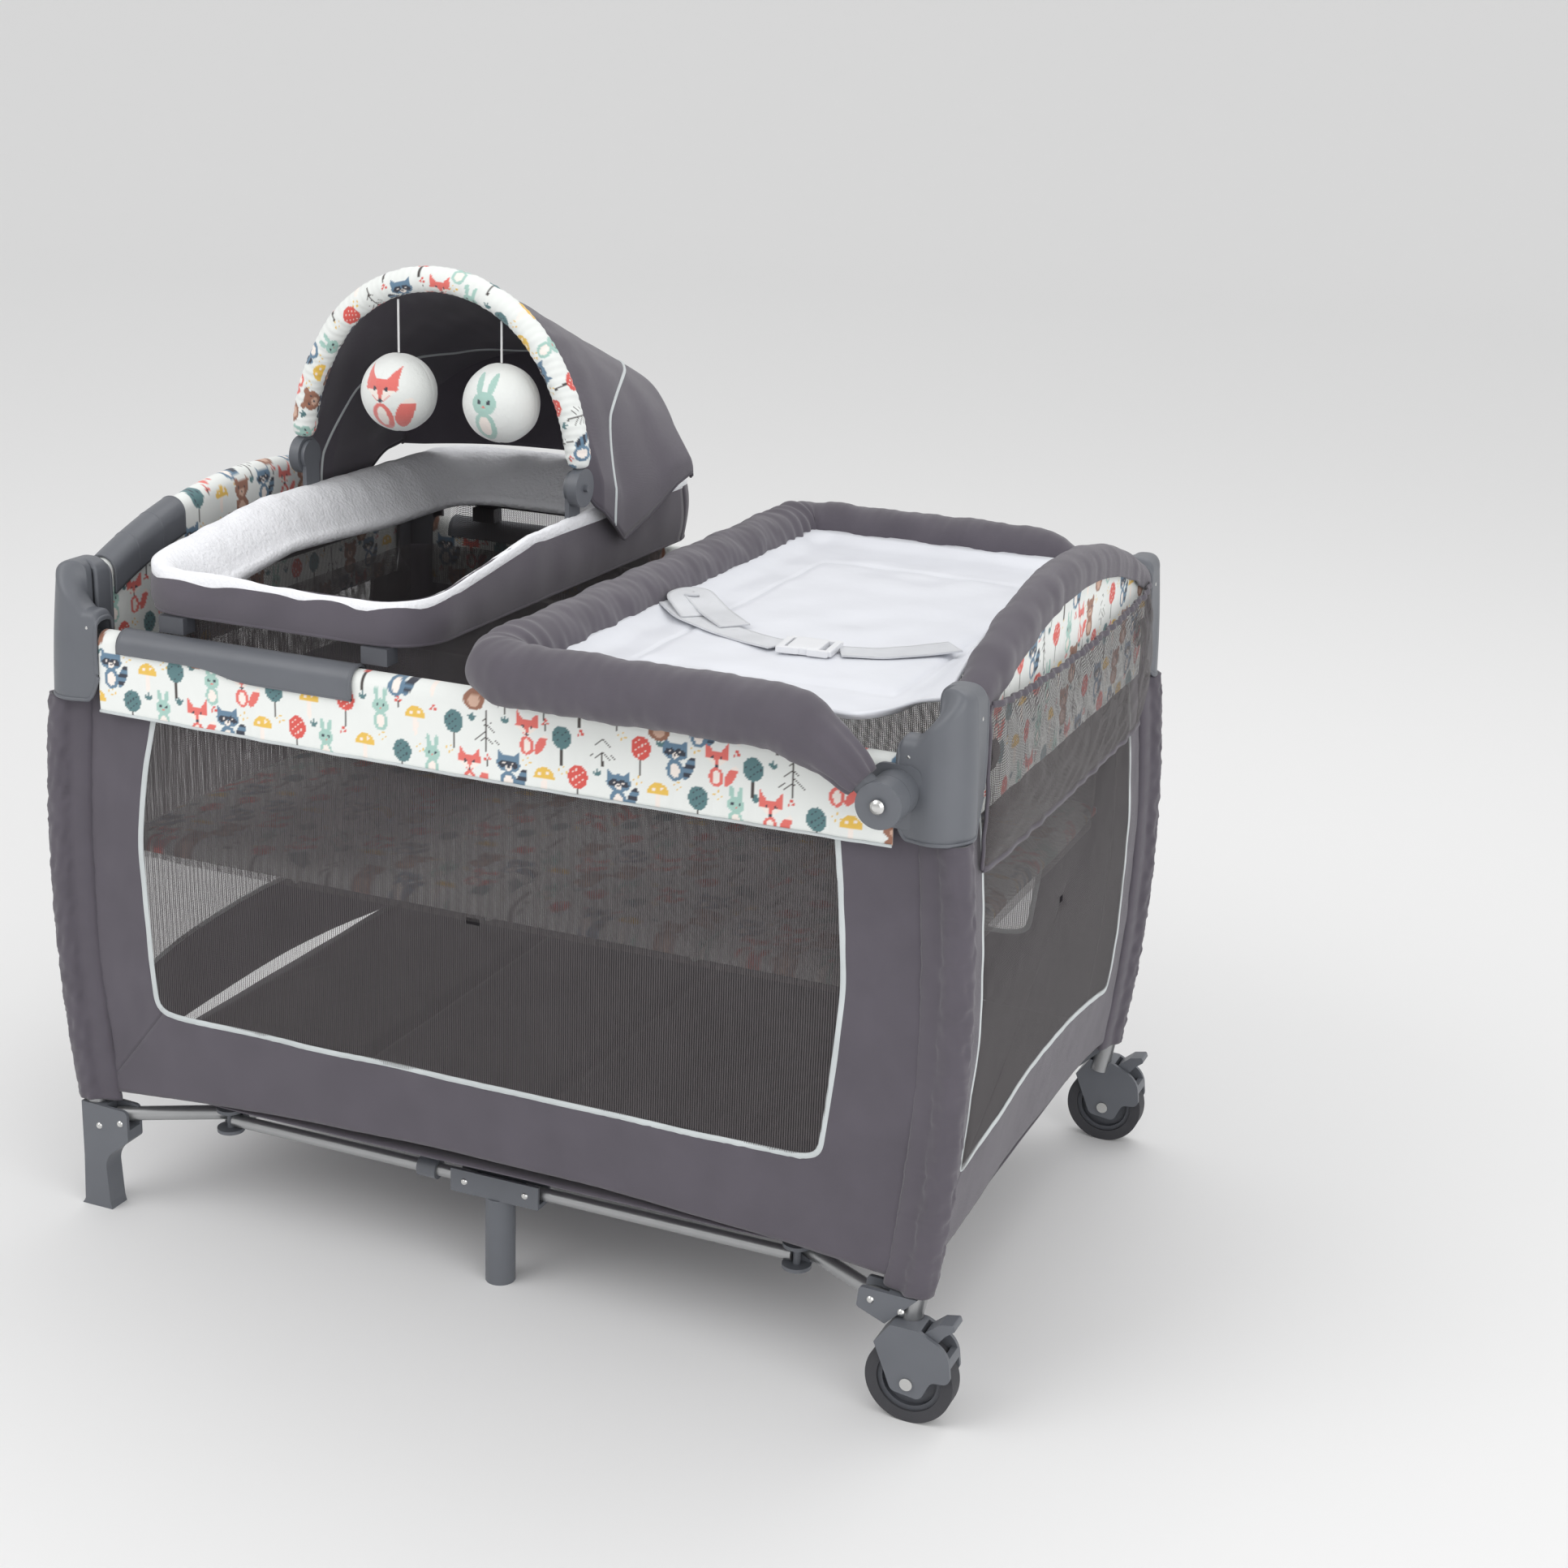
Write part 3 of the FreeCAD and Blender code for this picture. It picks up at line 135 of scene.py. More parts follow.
# %% [markdown]
# ## Finishes
# Cloth needs three things: a colour that drifts slightly, a weave that catches the light, and
# sheen at grazing angles. The weave is a lattice of two crossed sine waves on Object
# coordinates, so that it has its real thread size whatever the piece. The same lattice, cut
# through with transparency, makes the open mesh of the windows.

# %% Node helpers


def linear(red, green, blue):
    """An sRGB colour of 0 to 255 as the linear colour that shaders use."""
    c = np.array([red, green, blue]) / 255
    return np.where(c < 0.04045, c / 12.92, ((c + 0.055) / 1.055) ** 2.4)


class Finish:
    """A principled material and short ways to hang nodes on it."""

    def __init__(self, name, colour, roughness, sheen=0.0, metallic=0.0, coat=0.0, drift=0.06):
        self.material = bpy.data.materials.new(name)
        self.material.use_nodes = True
        self.tree = self.material.node_tree
        self.shader = self.tree.nodes["Principled BSDF"]
        self.shader.inputs["Roughness"].default_value = roughness
        self.shader.inputs["Metallic"].default_value = metallic
        self.shader.inputs["Sheen Weight"].default_value = sheen
        self.shader.inputs["Sheen Roughness"].default_value = 0.5
        self.shader.inputs["Coat Weight"].default_value = coat
        self.place = self.add("ShaderNodeTexCoord").outputs["Object"]
        self.base = tuple(float(c) for c in colour)
        self.drifting(drift)

    def add(self, kind, **values):
        """A node, with its named inputs set to values."""
        node = self.tree.nodes.new(kind)
        for key, value in values.items():
            node.inputs[key.replace("_", " ")].default_value = value
        return node

    def link(self, output, node, key):
        self.tree.links.new(output, node.inputs[key])

    def maths(self, operation, first, second=0.5):
        """A Math node on an output and a number or another output."""
        node = self.tree.nodes.new("ShaderNodeMath")
        node.operation = operation
        self.tree.links.new(first, node.inputs[0])
        if isinstance(second, (int, float)):
            node.inputs[1].default_value = second
        else:
            self.tree.links.new(second, node.inputs[1])
        return node.outputs[0]

    def noise(self, scale, detail=3.0):
        texture = self.add("ShaderNodeTexNoise", Scale=scale, Detail=detail)
        self.link(self.place, texture, "Vector")
        return texture.outputs["Fac"]

    def drifting(self, drift):
        """Base colour that wanders by a few percent, as dyed or moulded stuff does."""
        ramp = self.add("ShaderNodeValToRGB")
        low = [max(0.0, c * (1 - drift)) for c in self.base]
        high = [min(1.0, c * (1 + drift)) for c in self.base]
        ramp.color_ramp.elements[0].position, ramp.color_ramp.elements[1].position = 0.3, 0.7
        ramp.color_ramp.elements[0].color = (*low, 1)
        ramp.color_ramp.elements[1].color = (*high, 1)
        self.link(self.noise(22), ramp, "Fac")
        self.colour = ramp.outputs["Color"]
        self.link(self.colour, self.shader, "Base Color")

    def lattice(self, pitch, lean=(1, 1, 0), cross=(1, -1, 1)):
        """Product of two sine waves of this pitch in metres: -1 to 1 on a diamond grid."""
        waves = []
        for direction in (lean, cross):
            dot = self.tree.nodes.new("ShaderNodeVectorMath")
            dot.operation = "DOT_PRODUCT"
            self.tree.links.new(self.place, dot.inputs[0])
            dot.inputs[1].default_value = [d * 2 * math.pi / pitch for d in direction]
            waves.append(self.maths("SINE", dot.outputs["Value"], 0.0))
        return self.maths("MULTIPLY", waves[0], waves[1])

    def bump(self, height, strength, distance):
        """Adds a height to the bumps already on the shader."""
        node = self.add("ShaderNodeBump", Strength=strength, Distance=distance)
        before = self.shader.inputs["Normal"].links
        if before:
            self.tree.links.new(before[0].from_socket, node.inputs["Normal"])
        self.link(height, node, "Height")
        self.link(node.outputs["Normal"], self.shader, "Normal")
        return self

    def rough(self, low, high, scale):
        """Roughness that wanders between two values."""
        span = self.add("ShaderNodeMapRange")
        span.inputs["To Min"].default_value = low
        span.inputs["To Max"].default_value = high
        self.link(self.noise(scale), span, "Value")
        self.link(span.outputs["Result"], self.shader, "Roughness")
        return self

    def painted(self, attribute):
        """Takes the colour from a point attribute of the piece."""
        node = self.add("ShaderNodeAttribute")
        node.attribute_name = attribute
        self.link(node.outputs["Color"], self.shader, "Base Color")
        self.colour = node.outputs["Color"]
        return self

    def open_mesh(self, pitch, threshold):
        """Holes where the lattice rises above a threshold."""
        self.link(self.maths("LESS_THAN", self.maths("ABSOLUTE", self.lattice(pitch), 0.0), threshold),
                  self.shader, "Alpha")
        return self


print("node helpers ready")

# %% Cloth finishes


def cloth(name, colour, pitch=0.0011, sheen=0.25, roughness=0.82, strength=0.25):
    """Woven polyester: a thread lattice and faint creases."""
    made = Finish(name, colour, roughness, sheen=sheen, drift=0.07)
    made.bump(made.noise(45, 5), 0.25, 0.0012)
    made.bump(made.lattice(pitch), strength, 0.0003)
    return made


gray_cloth = cloth("gray_cloth", linear(86, 81, 90))
dark_cloth = cloth("dark_cloth", linear(72, 68, 76), sheen=0.15)
print_cloth = cloth("print_cloth", linear(236, 241, 240), strength=0.15).painted("print")
piping_cloth = cloth("piping_cloth", linear(205, 211, 212), pitch=0.0015, strength=0.4)
webbing = cloth("white_webbing", linear(226, 228, 232), pitch=0.0022, strength=0.9)
black_webbing = cloth("black_webbing", linear(38, 37, 40), pitch=0.0022, strength=0.9)
stay_cloth = cloth("mat_cloth", linear(58, 55, 61), sheen=0.1)

mesh_cloth = Finish("window_mesh", linear(88, 83, 85), 0.75, sheen=0.2)
mesh_cloth.open_mesh(0.0050, 0.20)
fine_mesh = Finish("pocket_mesh", linear(96, 91, 92), 0.75, sheen=0.2)
fine_mesh.open_mesh(0.0042, 0.22)

plush = Finish("white_plush", linear(247, 248, 252), 0.95, sheen=0.4, drift=0.02)
plush.bump(plush.noise(240, 6), 0.7, 0.0022).bump(plush.noise(60, 4), 0.4, 0.004)
vinyl = Finish("white_vinyl", linear(226, 228, 234), 0.45, coat=0.12, drift=0.02)
vinyl.bump(vinyl.noise(900, 3), 0.25, 0.0002).bump(vinyl.noise(28, 3), 0.25, 0.003)
cord_fibre = cloth("white_cord", linear(240, 240, 240), pitch=0.0012, strength=0.6)
print("cloth finishes ready")

# %% Hard finishes
plastic = Finish("gray_plastic", linear(101, 104, 110), 0.42, coat=0.05, drift=0.04)
plastic.rough(0.36, 0.5, 60).bump(plastic.noise(1400, 2), 0.18, 0.00012)
dark_plastic = Finish("dark_plastic", linear(78, 80, 86), 0.5, drift=0.04)
dark_plastic.rough(0.42, 0.58, 60).bump(dark_plastic.noise(1400, 2), 0.2, 0.00012)
white_plastic = Finish("white_plastic", linear(228, 229, 232), 0.35, coat=0.1, drift=0.01)
white_plastic.bump(white_plastic.noise(900, 2), 0.1, 0.0001)
steel = Finish("steel_tube", linear(176, 177, 178), 0.36, metallic=0.85, drift=0.05)
steel.rough(0.28, 0.44, 90).bump(steel.noise(700, 2), 0.08, 0.0001)
rivet_steel = Finish("rivet_steel", linear(214, 214, 212), 0.24, metallic=1.0, drift=0.03)
rivet_steel.bump(rivet_steel.noise(400, 2), 0.1, 0.0001)
rubber = Finish("wheel_rubber", linear(62, 62, 66), 0.7, drift=0.08)
rubber.rough(0.6, 0.8, 120).bump(rubber.noise(900, 3), 0.3, 0.0002)
print("hard finishes ready")

# %% [markdown]
# ## Tools for surfaces
# Every new piece is a grid of points worked out by a formula. A sheet of cloth is such a grid
# given a thickness, with its edges closed. A roll, tube or rim is a closed section carried
# along a path. Both come out as closed solids with their faces outwards.

# %% Grids into meshes


def place_mesh(name, grids, finish):
    """One closed object from grids of points; each grid wraps round in its second direction."""
    points, faces, start = [], [], 0
    for grid in grids:
        rows, cols = grid.shape[:2]
        a, b = np.meshgrid(np.arange(rows - 1), np.arange(cols), indexing="ij")
        c = (b + 1) % cols
        faces.append(start + np.stack([a * cols + b, a * cols + c,
                                       (a + 1) * cols + c, (a + 1) * cols + b], -1).reshape(-1, 4))
        points.append(grid.reshape(-1, 3))
        start += rows * cols
    points, faces = np.concatenate(points), np.concatenate(faces)
    mesh = bpy.data.meshes.new(name)
    mesh.vertices.add(len(points))
    mesh.vertices.foreach_set("co", points.ravel().astype(np.float32))
    mesh.loops.add(faces.size)
    mesh.loops.foreach_set("vertex_index", faces.ravel().astype(np.int32))
    mesh.polygons.add(len(faces))
    mesh.polygons.foreach_set("loop_start", np.arange(0, faces.size, 4, dtype=np.int32))
    mesh.update(calc_edges=True)
    shaped = bmesh.new()
    shaped.from_mesh(mesh)
    bmesh.ops.remove_doubles(shaped, verts=shaped.verts, dist=2e-6)
    bmesh.ops.holes_fill(shaped, edges=[e for e in shaped.edges if e.is_boundary], sides=0)
    bmesh.ops.recalc_face_normals(shaped, faces=shaped.faces)
    shaped.to_mesh(mesh)
    shaped.free()
    mesh.polygons.foreach_set("use_smooth", np.ones(len(mesh.polygons), dtype=bool))
    mesh.materials.append(finish.material)
    item = bpy.data.objects.new(name, mesh)
    bpy.context.scene.collection.objects.link(item)
    return item


def unit(vectors):
    return vectors / np.maximum(np.linalg.norm(vectors, axis=-1, keepdims=True), 1e-12)


def normals(points):
    """Normals of a grid: the cross product of its two tangents."""
    return unit(np.cross(np.gradient(points, axis=0), np.gradient(points, axis=1)))


def slab(points, thickness):
    """A closed sheet of this thickness with the grid as its middle."""
    off = normals(points) * thickness / 2
    both = np.concatenate([points + off, (points - off)[:, ::-1]], 1)
    edge = np.concatenate([points, points[:, ::-1]], 1)
    return np.concatenate([edge[:1], both, edge[-1:]])


def carried(line, section, top):
    """A closed section (sideways, upwards) carried along a line of points.

    top gives, at each point of the line, roughly where the section's upwards points.
    """
    tangent = unit(np.gradient(line, axis=0))
    side = unit(np.cross(tangent, np.broadcast_to(top, line.shape)))
    high = np.cross(side, tangent)
    section = np.broadcast_to(section, (len(line),) + np.shape(section)[-2:])
    rings = (line[:, None] + side[:, None] * section[..., :1] + high[:, None] * section[..., 1:])
    ends = [np.broadcast_to(rings[i].mean(0), rings[i].shape)[None] for i in (0, -1)]
    return np.concatenate([ends[0], rings, ends[1]])


def ring(radius_a, radius_b=None, count=24):
    """An oval section."""
    angle = np.linspace(0, 2 * math.pi, count, endpoint=False)
    return np.stack([np.cos(angle) * radius_a, np.sin(angle) * (radius_b or radius_a)], -1)


def spread(points, count):
    """Points spread evenly by length along a line through the given points."""
    points = np.asarray(points, float)
    gone = np.concatenate([[0], np.cumsum(np.linalg.norm(np.diff(points, axis=0), axis=1))])
    at = np.linspace(0, gone[-1], count)
    return np.stack([np.interp(at, gone, points[:, i]) for i in range(points.shape[1])], -1)


def softened(line, reach, closed=False):
    """The line with its corners rounded, by averaging neighbours within reach points."""
    weight = np.hanning(2 * reach + 3)[1:-1]
    weight /= weight.sum()
    mode = "wrap" if closed else "edge"
    padded_line = np.pad(line, ((reach, reach), (0, 0)), mode=mode)
    if not closed:
        padded_line[:reach] = 2 * line[0] - line[1:reach + 1][::-1]
        padded_line[-reach:] = 2 * line[-1] - line[-reach - 1:-1][::-1]
    return np.stack([np.convolve(padded_line[:, i], weight, "valid") for i in range(line.shape[1])], -1)


def ripple(u, v, seed, length, count=9):
    """Gentle random waves of about this length in metres: a sum of sines, -1 to 1."""
    made = np.random.default_rng(seed)
    total = 0
    for _ in range(count):
        way = made.uniform(0, 2 * math.pi)
        step = 2 * math.pi / (length * made.uniform(0.7, 1.5))
        total = total + np.sin((u * math.cos(way) + v * math.sin(way)) * step + made.uniform(0, 6.3))
    return total / count ** 0.5 / 1.6


def piping(name, line, radius, finish, body, top=(0, 0, 1), squash=1.0):
    """A sewn cord: a round or flattened section along a line."""
    item = place_mesh(name, [carried(line, ring(radius, radius * squash, 12), np.array(top, float))], finish)
    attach(item, body)
    return item


def sewn_sheet(item, points, cut=None):
    """Prints the flat size of a sheet: the size of its cut, or the longest lengths across and along its
    grid.
    """
    across = np.linalg.norm(np.diff(points, axis=1), axis=2).sum(1).max()
    along = np.linalg.norm(np.diff(points, axis=0), axis=2).sum(0).max()
    across, along = cut or (across, along)
    print(item.name, "flat", round(float(across), 3), "x", round(float(along), 3), "m")


print("surface tools ready")

# %% [markdown]
# ## The printed cotton
# A woodland print covers the rail bands, the bow and the bassinet pad. Each motif is a few
# ovals and wedges drawn in its own small square. They are stamped in staggered rows onto the
# points of a fine grid, and the colour is kept with the points as an attribute.

# %% Motifs
INK = {name: linear(*rgb) for name, rgb in {
    "cloth": (238, 241, 238), "coral": (233, 118, 110), "pale": (250, 240, 232),
    "brown": (158, 112, 92), "tan": (214, 178, 158), "slate": (104, 134, 158),
    "dark": (58, 62, 74), "mint": (170, 206, 196), "red": (222, 92, 84),
    "teal": (92, 128, 132), "yellow": (238, 196, 92), "twig": (74, 68, 66)}.items()}


def oval(x, y, cx, cy, a, b, turn=0.0):
    """Inside an oval at (cx, cy) of half sizes a and b, turned by turn radians."""
    c, s = math.cos(turn), math.sin(turn)
    dx, dy = x - cx, y - cy
    return ((dx * c + dy * s) / a) ** 2 + ((dy * c - dx * s) / b) ** 2 < 1


def wedge(x, y, *corners):
    """Inside a convex polygon given anticlockwise."""
    inside = np.ones(x.shape, bool)
    for (ax, ay), (bx, by) in zip(corners, corners[1:] + corners[:1]):
        inside &= (bx - ax) * (y - ay) - (by - ay) * (x - ax) > 0
    return inside


def eyes(x, y, height, apart=0.2, size=0.06):
    return oval(x, y, -apart, height, size, size * 1.2) | oval(x, y, apart, height, size, size * 1.2)


def fox(x, y):
    tail = oval(x, y, 0.66, -0.42, 0.2, 0.52, -0.5)
    return [(tail, "coral"), (tail & (y > -0.12), "pale"), (oval(x, y, 0, -0.55, 0.34, 0.42), "coral"),
            (oval(x, y, 0, -0.55, 0.17, 0.3), "pale"),
            (wedge(x, y, (-0.56, 0.3), (0, -0.16), (0.56, 0.3), (0.42, 0.58), (-0.42, 0.58)), "coral"),
            (wedge(x, y, (-0.54, 0.4), (-0.12, 0.5), (-0.5, 0.98)), "coral"),
            (wedge(x, y, (0.12, 0.5), (0.54, 0.4), (0.5, 0.98)), "coral"),
            (wedge(x, y, (-0.5, 0.26), (0, -0.14), (-0.12, 0.26)), "pale"),
            (wedge(x, y, (0.12, 0.26), (0, -0.14), (0.5, 0.26)), "pale"),
            (eyes(x, y, 0.3), "dark"), (oval(x, y, 0, -0.06, 0.08, 0.07), "dark")]


def bear(x, y):
    return [(oval(x, y, -0.42, 0.66, 0.17, 0.17) | oval(x, y, 0.42, 0.66, 0.17, 0.17), "brown"),
            (oval(x, y, 0, -0.55, 0.52, 0.46), "brown"), (oval(x, y, 0, -0.6, 0.28, 0.28), "tan"),
            (oval(x, y, 0, 0.26, 0.56, 0.46), "brown"), (oval(x, y, 0, 0.1, 0.24, 0.18), "tan"),
            (oval(x, y, 0, 0.16, 0.08, 0.06), "dark"), (eyes(x, y, 0.36, 0.24), "dark")]


def raccoon(x, y):
    tail = oval(x, y, 0.64, -0.34, 0.22, 0.56, -0.4)
    return [(tail, "slate"), (tail & (np.sin(y * 17) > 0), "dark"),
            (oval(x, y, 0, -0.5, 0.4, 0.48), "slate"),
            (oval(x, y, 0, -0.52, 0.22, 0.32), "pale"), (oval(x, y, 0, 0.3, 0.58, 0.38), "slate"),
            (wedge(x, y, (-0.56, 0.42), (-0.2, 0.58), (-0.5, 0.86)), "slate"),
            (wedge(x, y, (0.2, 0.58), (0.56, 0.42), (0.5, 0.86)), "slate"),
            (oval(x, y, -0.25, 0.28, 0.25, 0.15, 0.3) | oval(x, y, 0.25, 0.28, 0.25, 0.15, -0.3), "dark"),
            (oval(x, y, 0, 0.12, 0.15, 0.13), "pale"), (eyes(x, y, 0.3, 0.22, 0.045), "pale"),
            (oval(x, y, 0, 0.16, 0.06, 0.05), "dark")]


def bunny(x, y):
    return [(oval(x, y, -0.2, 0.72, 0.11, 0.32, 0.12) | oval(x, y, 0.2, 0.72, 0.11, 0.32, -0.12), "mint"),
            (oval(x, y, 0, -0.5, 0.34, 0.44), "mint"), (oval(x, y, 0, -0.5, 0.2, 0.3), "pale"),
            (oval(x, y, 0, 0.18, 0.4, 0.34), "mint"), (eyes(x, y, 0.22, 0.16), "dark"),
            (oval(x, y, 0, 0.08, 0.05, 0.04), "coral")]


def tree(crown, vein):
    def drawn(x, y):
        return [(wedge(x, y, (-0.05, -0.95), (0.05, -0.95), (0.05, 0.1), (-0.05, 0.1)), "twig"),
                (oval(x, y, 0, 0.28, 0.46, 0.52), crown),
                (oval(x, y, 0, 0.28, 0.36, 0.42) & (np.sin(x * 22) * np.sin(y * 19 + x * 6) > 0.72), vein)]
    return drawn


def mushroom(x, y):
    return [(oval(x, y, 0, -0.3, 0.13, 0.5), "pale"), (oval(x, y, 0, 0.05, 0.5, 0.5) & (y > 0.02), "yellow"),
            (oval(x, y, -0.2, 0.24, 0.08, 0.07) | oval(x, y, 0.16, 0.32, 0.08, 0.07), "pale")]


def fir(x, y):
    stem = wedge(x, y, (-0.04, -0.95), (0.04, -0.95), (0.03, 0.9), (-0.03, 0.9))
    arms = (np.abs(np.sin((y + np.abs(x) * 0.9) * 11)) < 0.22) & (np.abs(x) < 0.42 * (0.9 - y)) & (y > -0.6)
    return [(stem | arms, "twig")]


def berries(x, y):
    return [(oval(x, y, -0.3, 0, 0.2, 0.2) | oval(x, y, 0.3, 0.1, 0.2, 0.2)
             | oval(x, y, 0, 0.5, 0.2, 0.2), "red"),
            (wedge(x, y, (-0.04, -0.9), (0.04, -0.9), (0.04, 0), (-0.04, 0)), "twig")]


def leaf(x, y):
    return [(oval(x, y, -0.3, 0.1, 0.18, 0.46, 0.6) | oval(x, y, 0.3, 0.1, 0.18, 0.46, -0.6)
             | oval(x, y, 0, 0.3, 0.16, 0.5), "teal")]


def dots(x, y):
    return [(oval(x, y, -0.5, 0.1, 0.14, 0.14) | oval(x, y, 0.1, 0.5, 0.14, 0.14)
             | oval(x, y, 0.5, -0.1, 0.14, 0.14) | oval(x, y, -0.05, -0.4, 0.14, 0.14), "yellow")]


LARGE = (fox, tree("red", "pale"), bear, tree("teal", "dark"), raccoon, bunny, fir, mushroom)
SMALL = (berries, dots, leaf, dots)


def print_colours(u, v, seed, pitch=0.040, scale=1.0):
    """Cloth colours at u, v metres: big motifs in staggered rows, small ones between them."""
    colours = np.tile(INK["cloth"], u.shape + (1,)).astype(np.float32)
    made = np.random.default_rng(seed)
    row_step = pitch * 0.98
    rows = np.arange(math.floor(v.min() / row_step) - 1, math.ceil(v.max() / row_step) + 2)
    cols = np.arange(math.floor(u.min() / pitch) - 1, math.ceil(u.max() / pitch) + 2)
    for row in rows:
        band = np.abs(v - row * row_step) < pitch
        for col in cols:
            cx = (col + 0.5 * (row % 2)) * pitch + made.uniform(-0.1, 0.1) * pitch
            cy = row * row_step + made.uniform(-0.08, 0.08) * pitch
            for kinds, ox, oy, half in ((LARGE, 0, 0, 0.56), (SMALL, 0.5, 0.30, 0.19)):
                kind = kinds[(col * 3 + row * 5 + int(made.integers(0, 2))) % len(kinds)]
                size = half * pitch * scale
                near = band & (np.abs(u - cx - ox * pitch) < size) & (np.abs(v - cy - oy * pitch) < size)
                if not near.any():
                    continue
                x, y = (u[near] - cx - ox * pitch) / size, (v[near] - cy - oy * pitch) / size
                spot = colours[near]
                for mask, ink in kind(x, y):
                    spot[mask] = INK[ink]
                colours[near] = spot
    return colours


def paint(item, u_of, seed, pitch=0.040, attribute="print"):
    """Prints the motifs on a piece; u_of turns its points into flat cloth metres."""
    mesh = item.data
    co = np.empty(len(mesh.vertices) * 3, np.float32)
    mesh.vertices.foreach_get("co", co)
    u, v = u_of(co.reshape(-1, 3).astype(float))
    colours = print_colours(u, v, seed, pitch)
    layer = mesh.color_attributes.new(attribute, "FLOAT_COLOR", "POINT")
    layer.data.foreach_set("color", np.concatenate([colours, np.ones((len(colours), 1))], 1).ravel())


print("print ready:", len(LARGE), "large motifs and", len(SMALL), "small")

# %% [markdown]
# ## Hard parts from the CAD model
# Tubes, feet, wheels and hinges already have their real shape, so they only get their finish.

# %% Finishes on CAD parts
CAD_FINISH = {
    steel: ("corner_posts", "long_rails", "end_rails", "base_tubes", "changer_frame"),
    rivet_steel: ("frame_rivets", "wheel_axles"),
    plastic: ("rail_latches", "wheel_housing_front", "wheel_housing_back", "brake_pedal_front",
              "brake_pedal_back", "base_knuckles", "base_hub", "corner_feet", "middle_feet", "floor_clips",
              "changer_mounts", "changer_arms", "canopy_mounts", "latch_button_front",
              "latch_button_back", "latch_button_left", "latch_button_right", "canopy_bow"),
    dark_plastic: ("wheel_disc_front", "wheel_disc_back", "napper_frame"),
    rubber: ("tyre_front", "tyre_back"),
}
for finish, names in CAD_FINISH.items():
    for name in names:
        mesh = frame["nodes"][name].data
        mesh.materials.clear()
        mesh.materials.append(finish.material)
print("finished", sum(len(n) for n in CAD_FINISH.values()), "CAD parts")

# %% [markdown]
# ## Lines of the frame
# Later pieces follow the bowed corner posts and the arched end rails, so both lines are given
# once as formulas: each is a circle's arc through the frame's own sizes.

# %% Frame lines in metres
YARD_X, YARD_Y, END_X, RAIL_Z = 0.476, 0.333, 0.482, 0.652
POST_BEND = (0.304 ** 2 / 0.028 + 0.028) / 2
POST_CENTRE = YARD_X + 0.028 - POST_BEND
END_BEND, END_CENTRE = 0.673, 0.096


def post_x(z):
    """How far out the bowed post stands at a height."""
    return POST_CENTRE + np.sqrt(POST_BEND ** 2 - (z - 0.396) ** 2)


def end_z(y):
    """Height of the arched end rail at a distance from the middle."""
    return END_CENTRE + np.sqrt(END_BEND ** 2 - y ** 2)


print("post stands", round(float(post_x(0.396)), 3), "m out at mid height")

# %% [markdown]
# ## Printed bands over the rails
# Each rail wears a folded band of printed cotton, sewn to the mesh below it. Its section is an
# upside-down U, carried along the rail. The points are close together where the print shows,
# and wide apart on the lining. The lower edge is a rolled hem.

# %% Band section


def band_section(low, outer_rows, inner_rows, half=0.0135, lining=0.0016):
    """The band's closed section: outer face, over the rail, inner face, and back inside.

    Sideways is outwards from the yard, upwards is from the rail's axis.
    """
    turn = np.linspace(0, math.pi, 12)[1:-1]
    outside = np.stack([np.full(outer_rows, half), np.linspace(low, 0, outer_rows)], -1)
    over = np.stack([half * np.cos(turn), half * np.sin(turn)], -1)
    inside = np.stack([np.full(inner_rows, -half), np.linspace(0, low, inner_rows)], -1)
    thin = half - lining
    back = np.stack([np.full(3, -thin), np.linspace(low, 0, 3)], -1)
    under = np.stack([-thin * np.cos(turn), thin * np.sin(turn)], -1)
    front = np.stack([np.full(3, thin), np.linspace(0, low, 3)], -1)
    return np.concatenate([outside, over, inside, back, under, front])


def band_relief(along, section, seed):
    """Small puckers that fade towards the fold over the rail."""
    hang = np.clip(-section[None, :, 1] / 0.05, 0, 1)
    wave = ripple(along[:, None], section[None, :, 1] * 0.4, seed, 0.05)
    fine = ripple(along[:, None], section[None, :, 1] * 0.25, seed + 1, 0.012)
    return hang * (0.0011 * wave + 0.00035 * fine)


print("band section has", len(band_section(-0.07, 50, 10)), "points")

# %% Long bands


def long_band(section, xs, sign, seed):
    """The band's points along a long rail, with puckers and a lower edge that dips mid way."""
    relief = band_relief(xs, section, seed)
    out = section[None, :, 0] + np.sign(section[None, :, 0]) * relief
    sag = 0.0035 * np.sin(math.pi * (xs[:, None] + 0.4372) / 0.8744)
    high = section[None, :, 1] - sag * np.clip(-section[None, :, 1] / 0.07, 0, 1)
    return np.stack([np.broadcast_to(xs[:, None], out.shape), sign * (YARD_Y + out), RAIL_Z + high], -1)


def sew_band(name, maker, stations, rows, flat_of, seed):
    """A printed band: its body and its print, with the flat size of the sheet printed."""
    section = band_section(-0.07 if name[0] in "fb" else -0.152, *rows)
    points = maker(section, stations)
    band = place_mesh(name, [points], print_cloth)
    paint(band, flat_of, seed)
    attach(band, "yard")
    sewn_sheet(band, points[:, :rows[0] + 10 + rows[1]])
    return band


long_xs = {-1: np.linspace(-0.4372, 0.4372, 520), 1: np.linspace(-0.4372, 0.4372, 400)}
for side, sign, rows in (("front", -1, (52, 10)), ("back", 1, (40, 44))):
    sew_band(f"{side}_band", lambda sec, xs: long_band(sec, xs, sign, 11), long_xs[sign], rows,
                           lambda p: (p[:, 0], p[:, 2] - 0.59), 5 + sign)
    hem = long_band(np.array([[0.0142, -0.0705]]), np.linspace(-0.437, 0.437, 200), sign, 11)[:, 0]
    piping(f"{side}_band_hem", hem, 0.0016, piping_cloth, "yard")
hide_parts("long_bands")
print("long bands sewn")

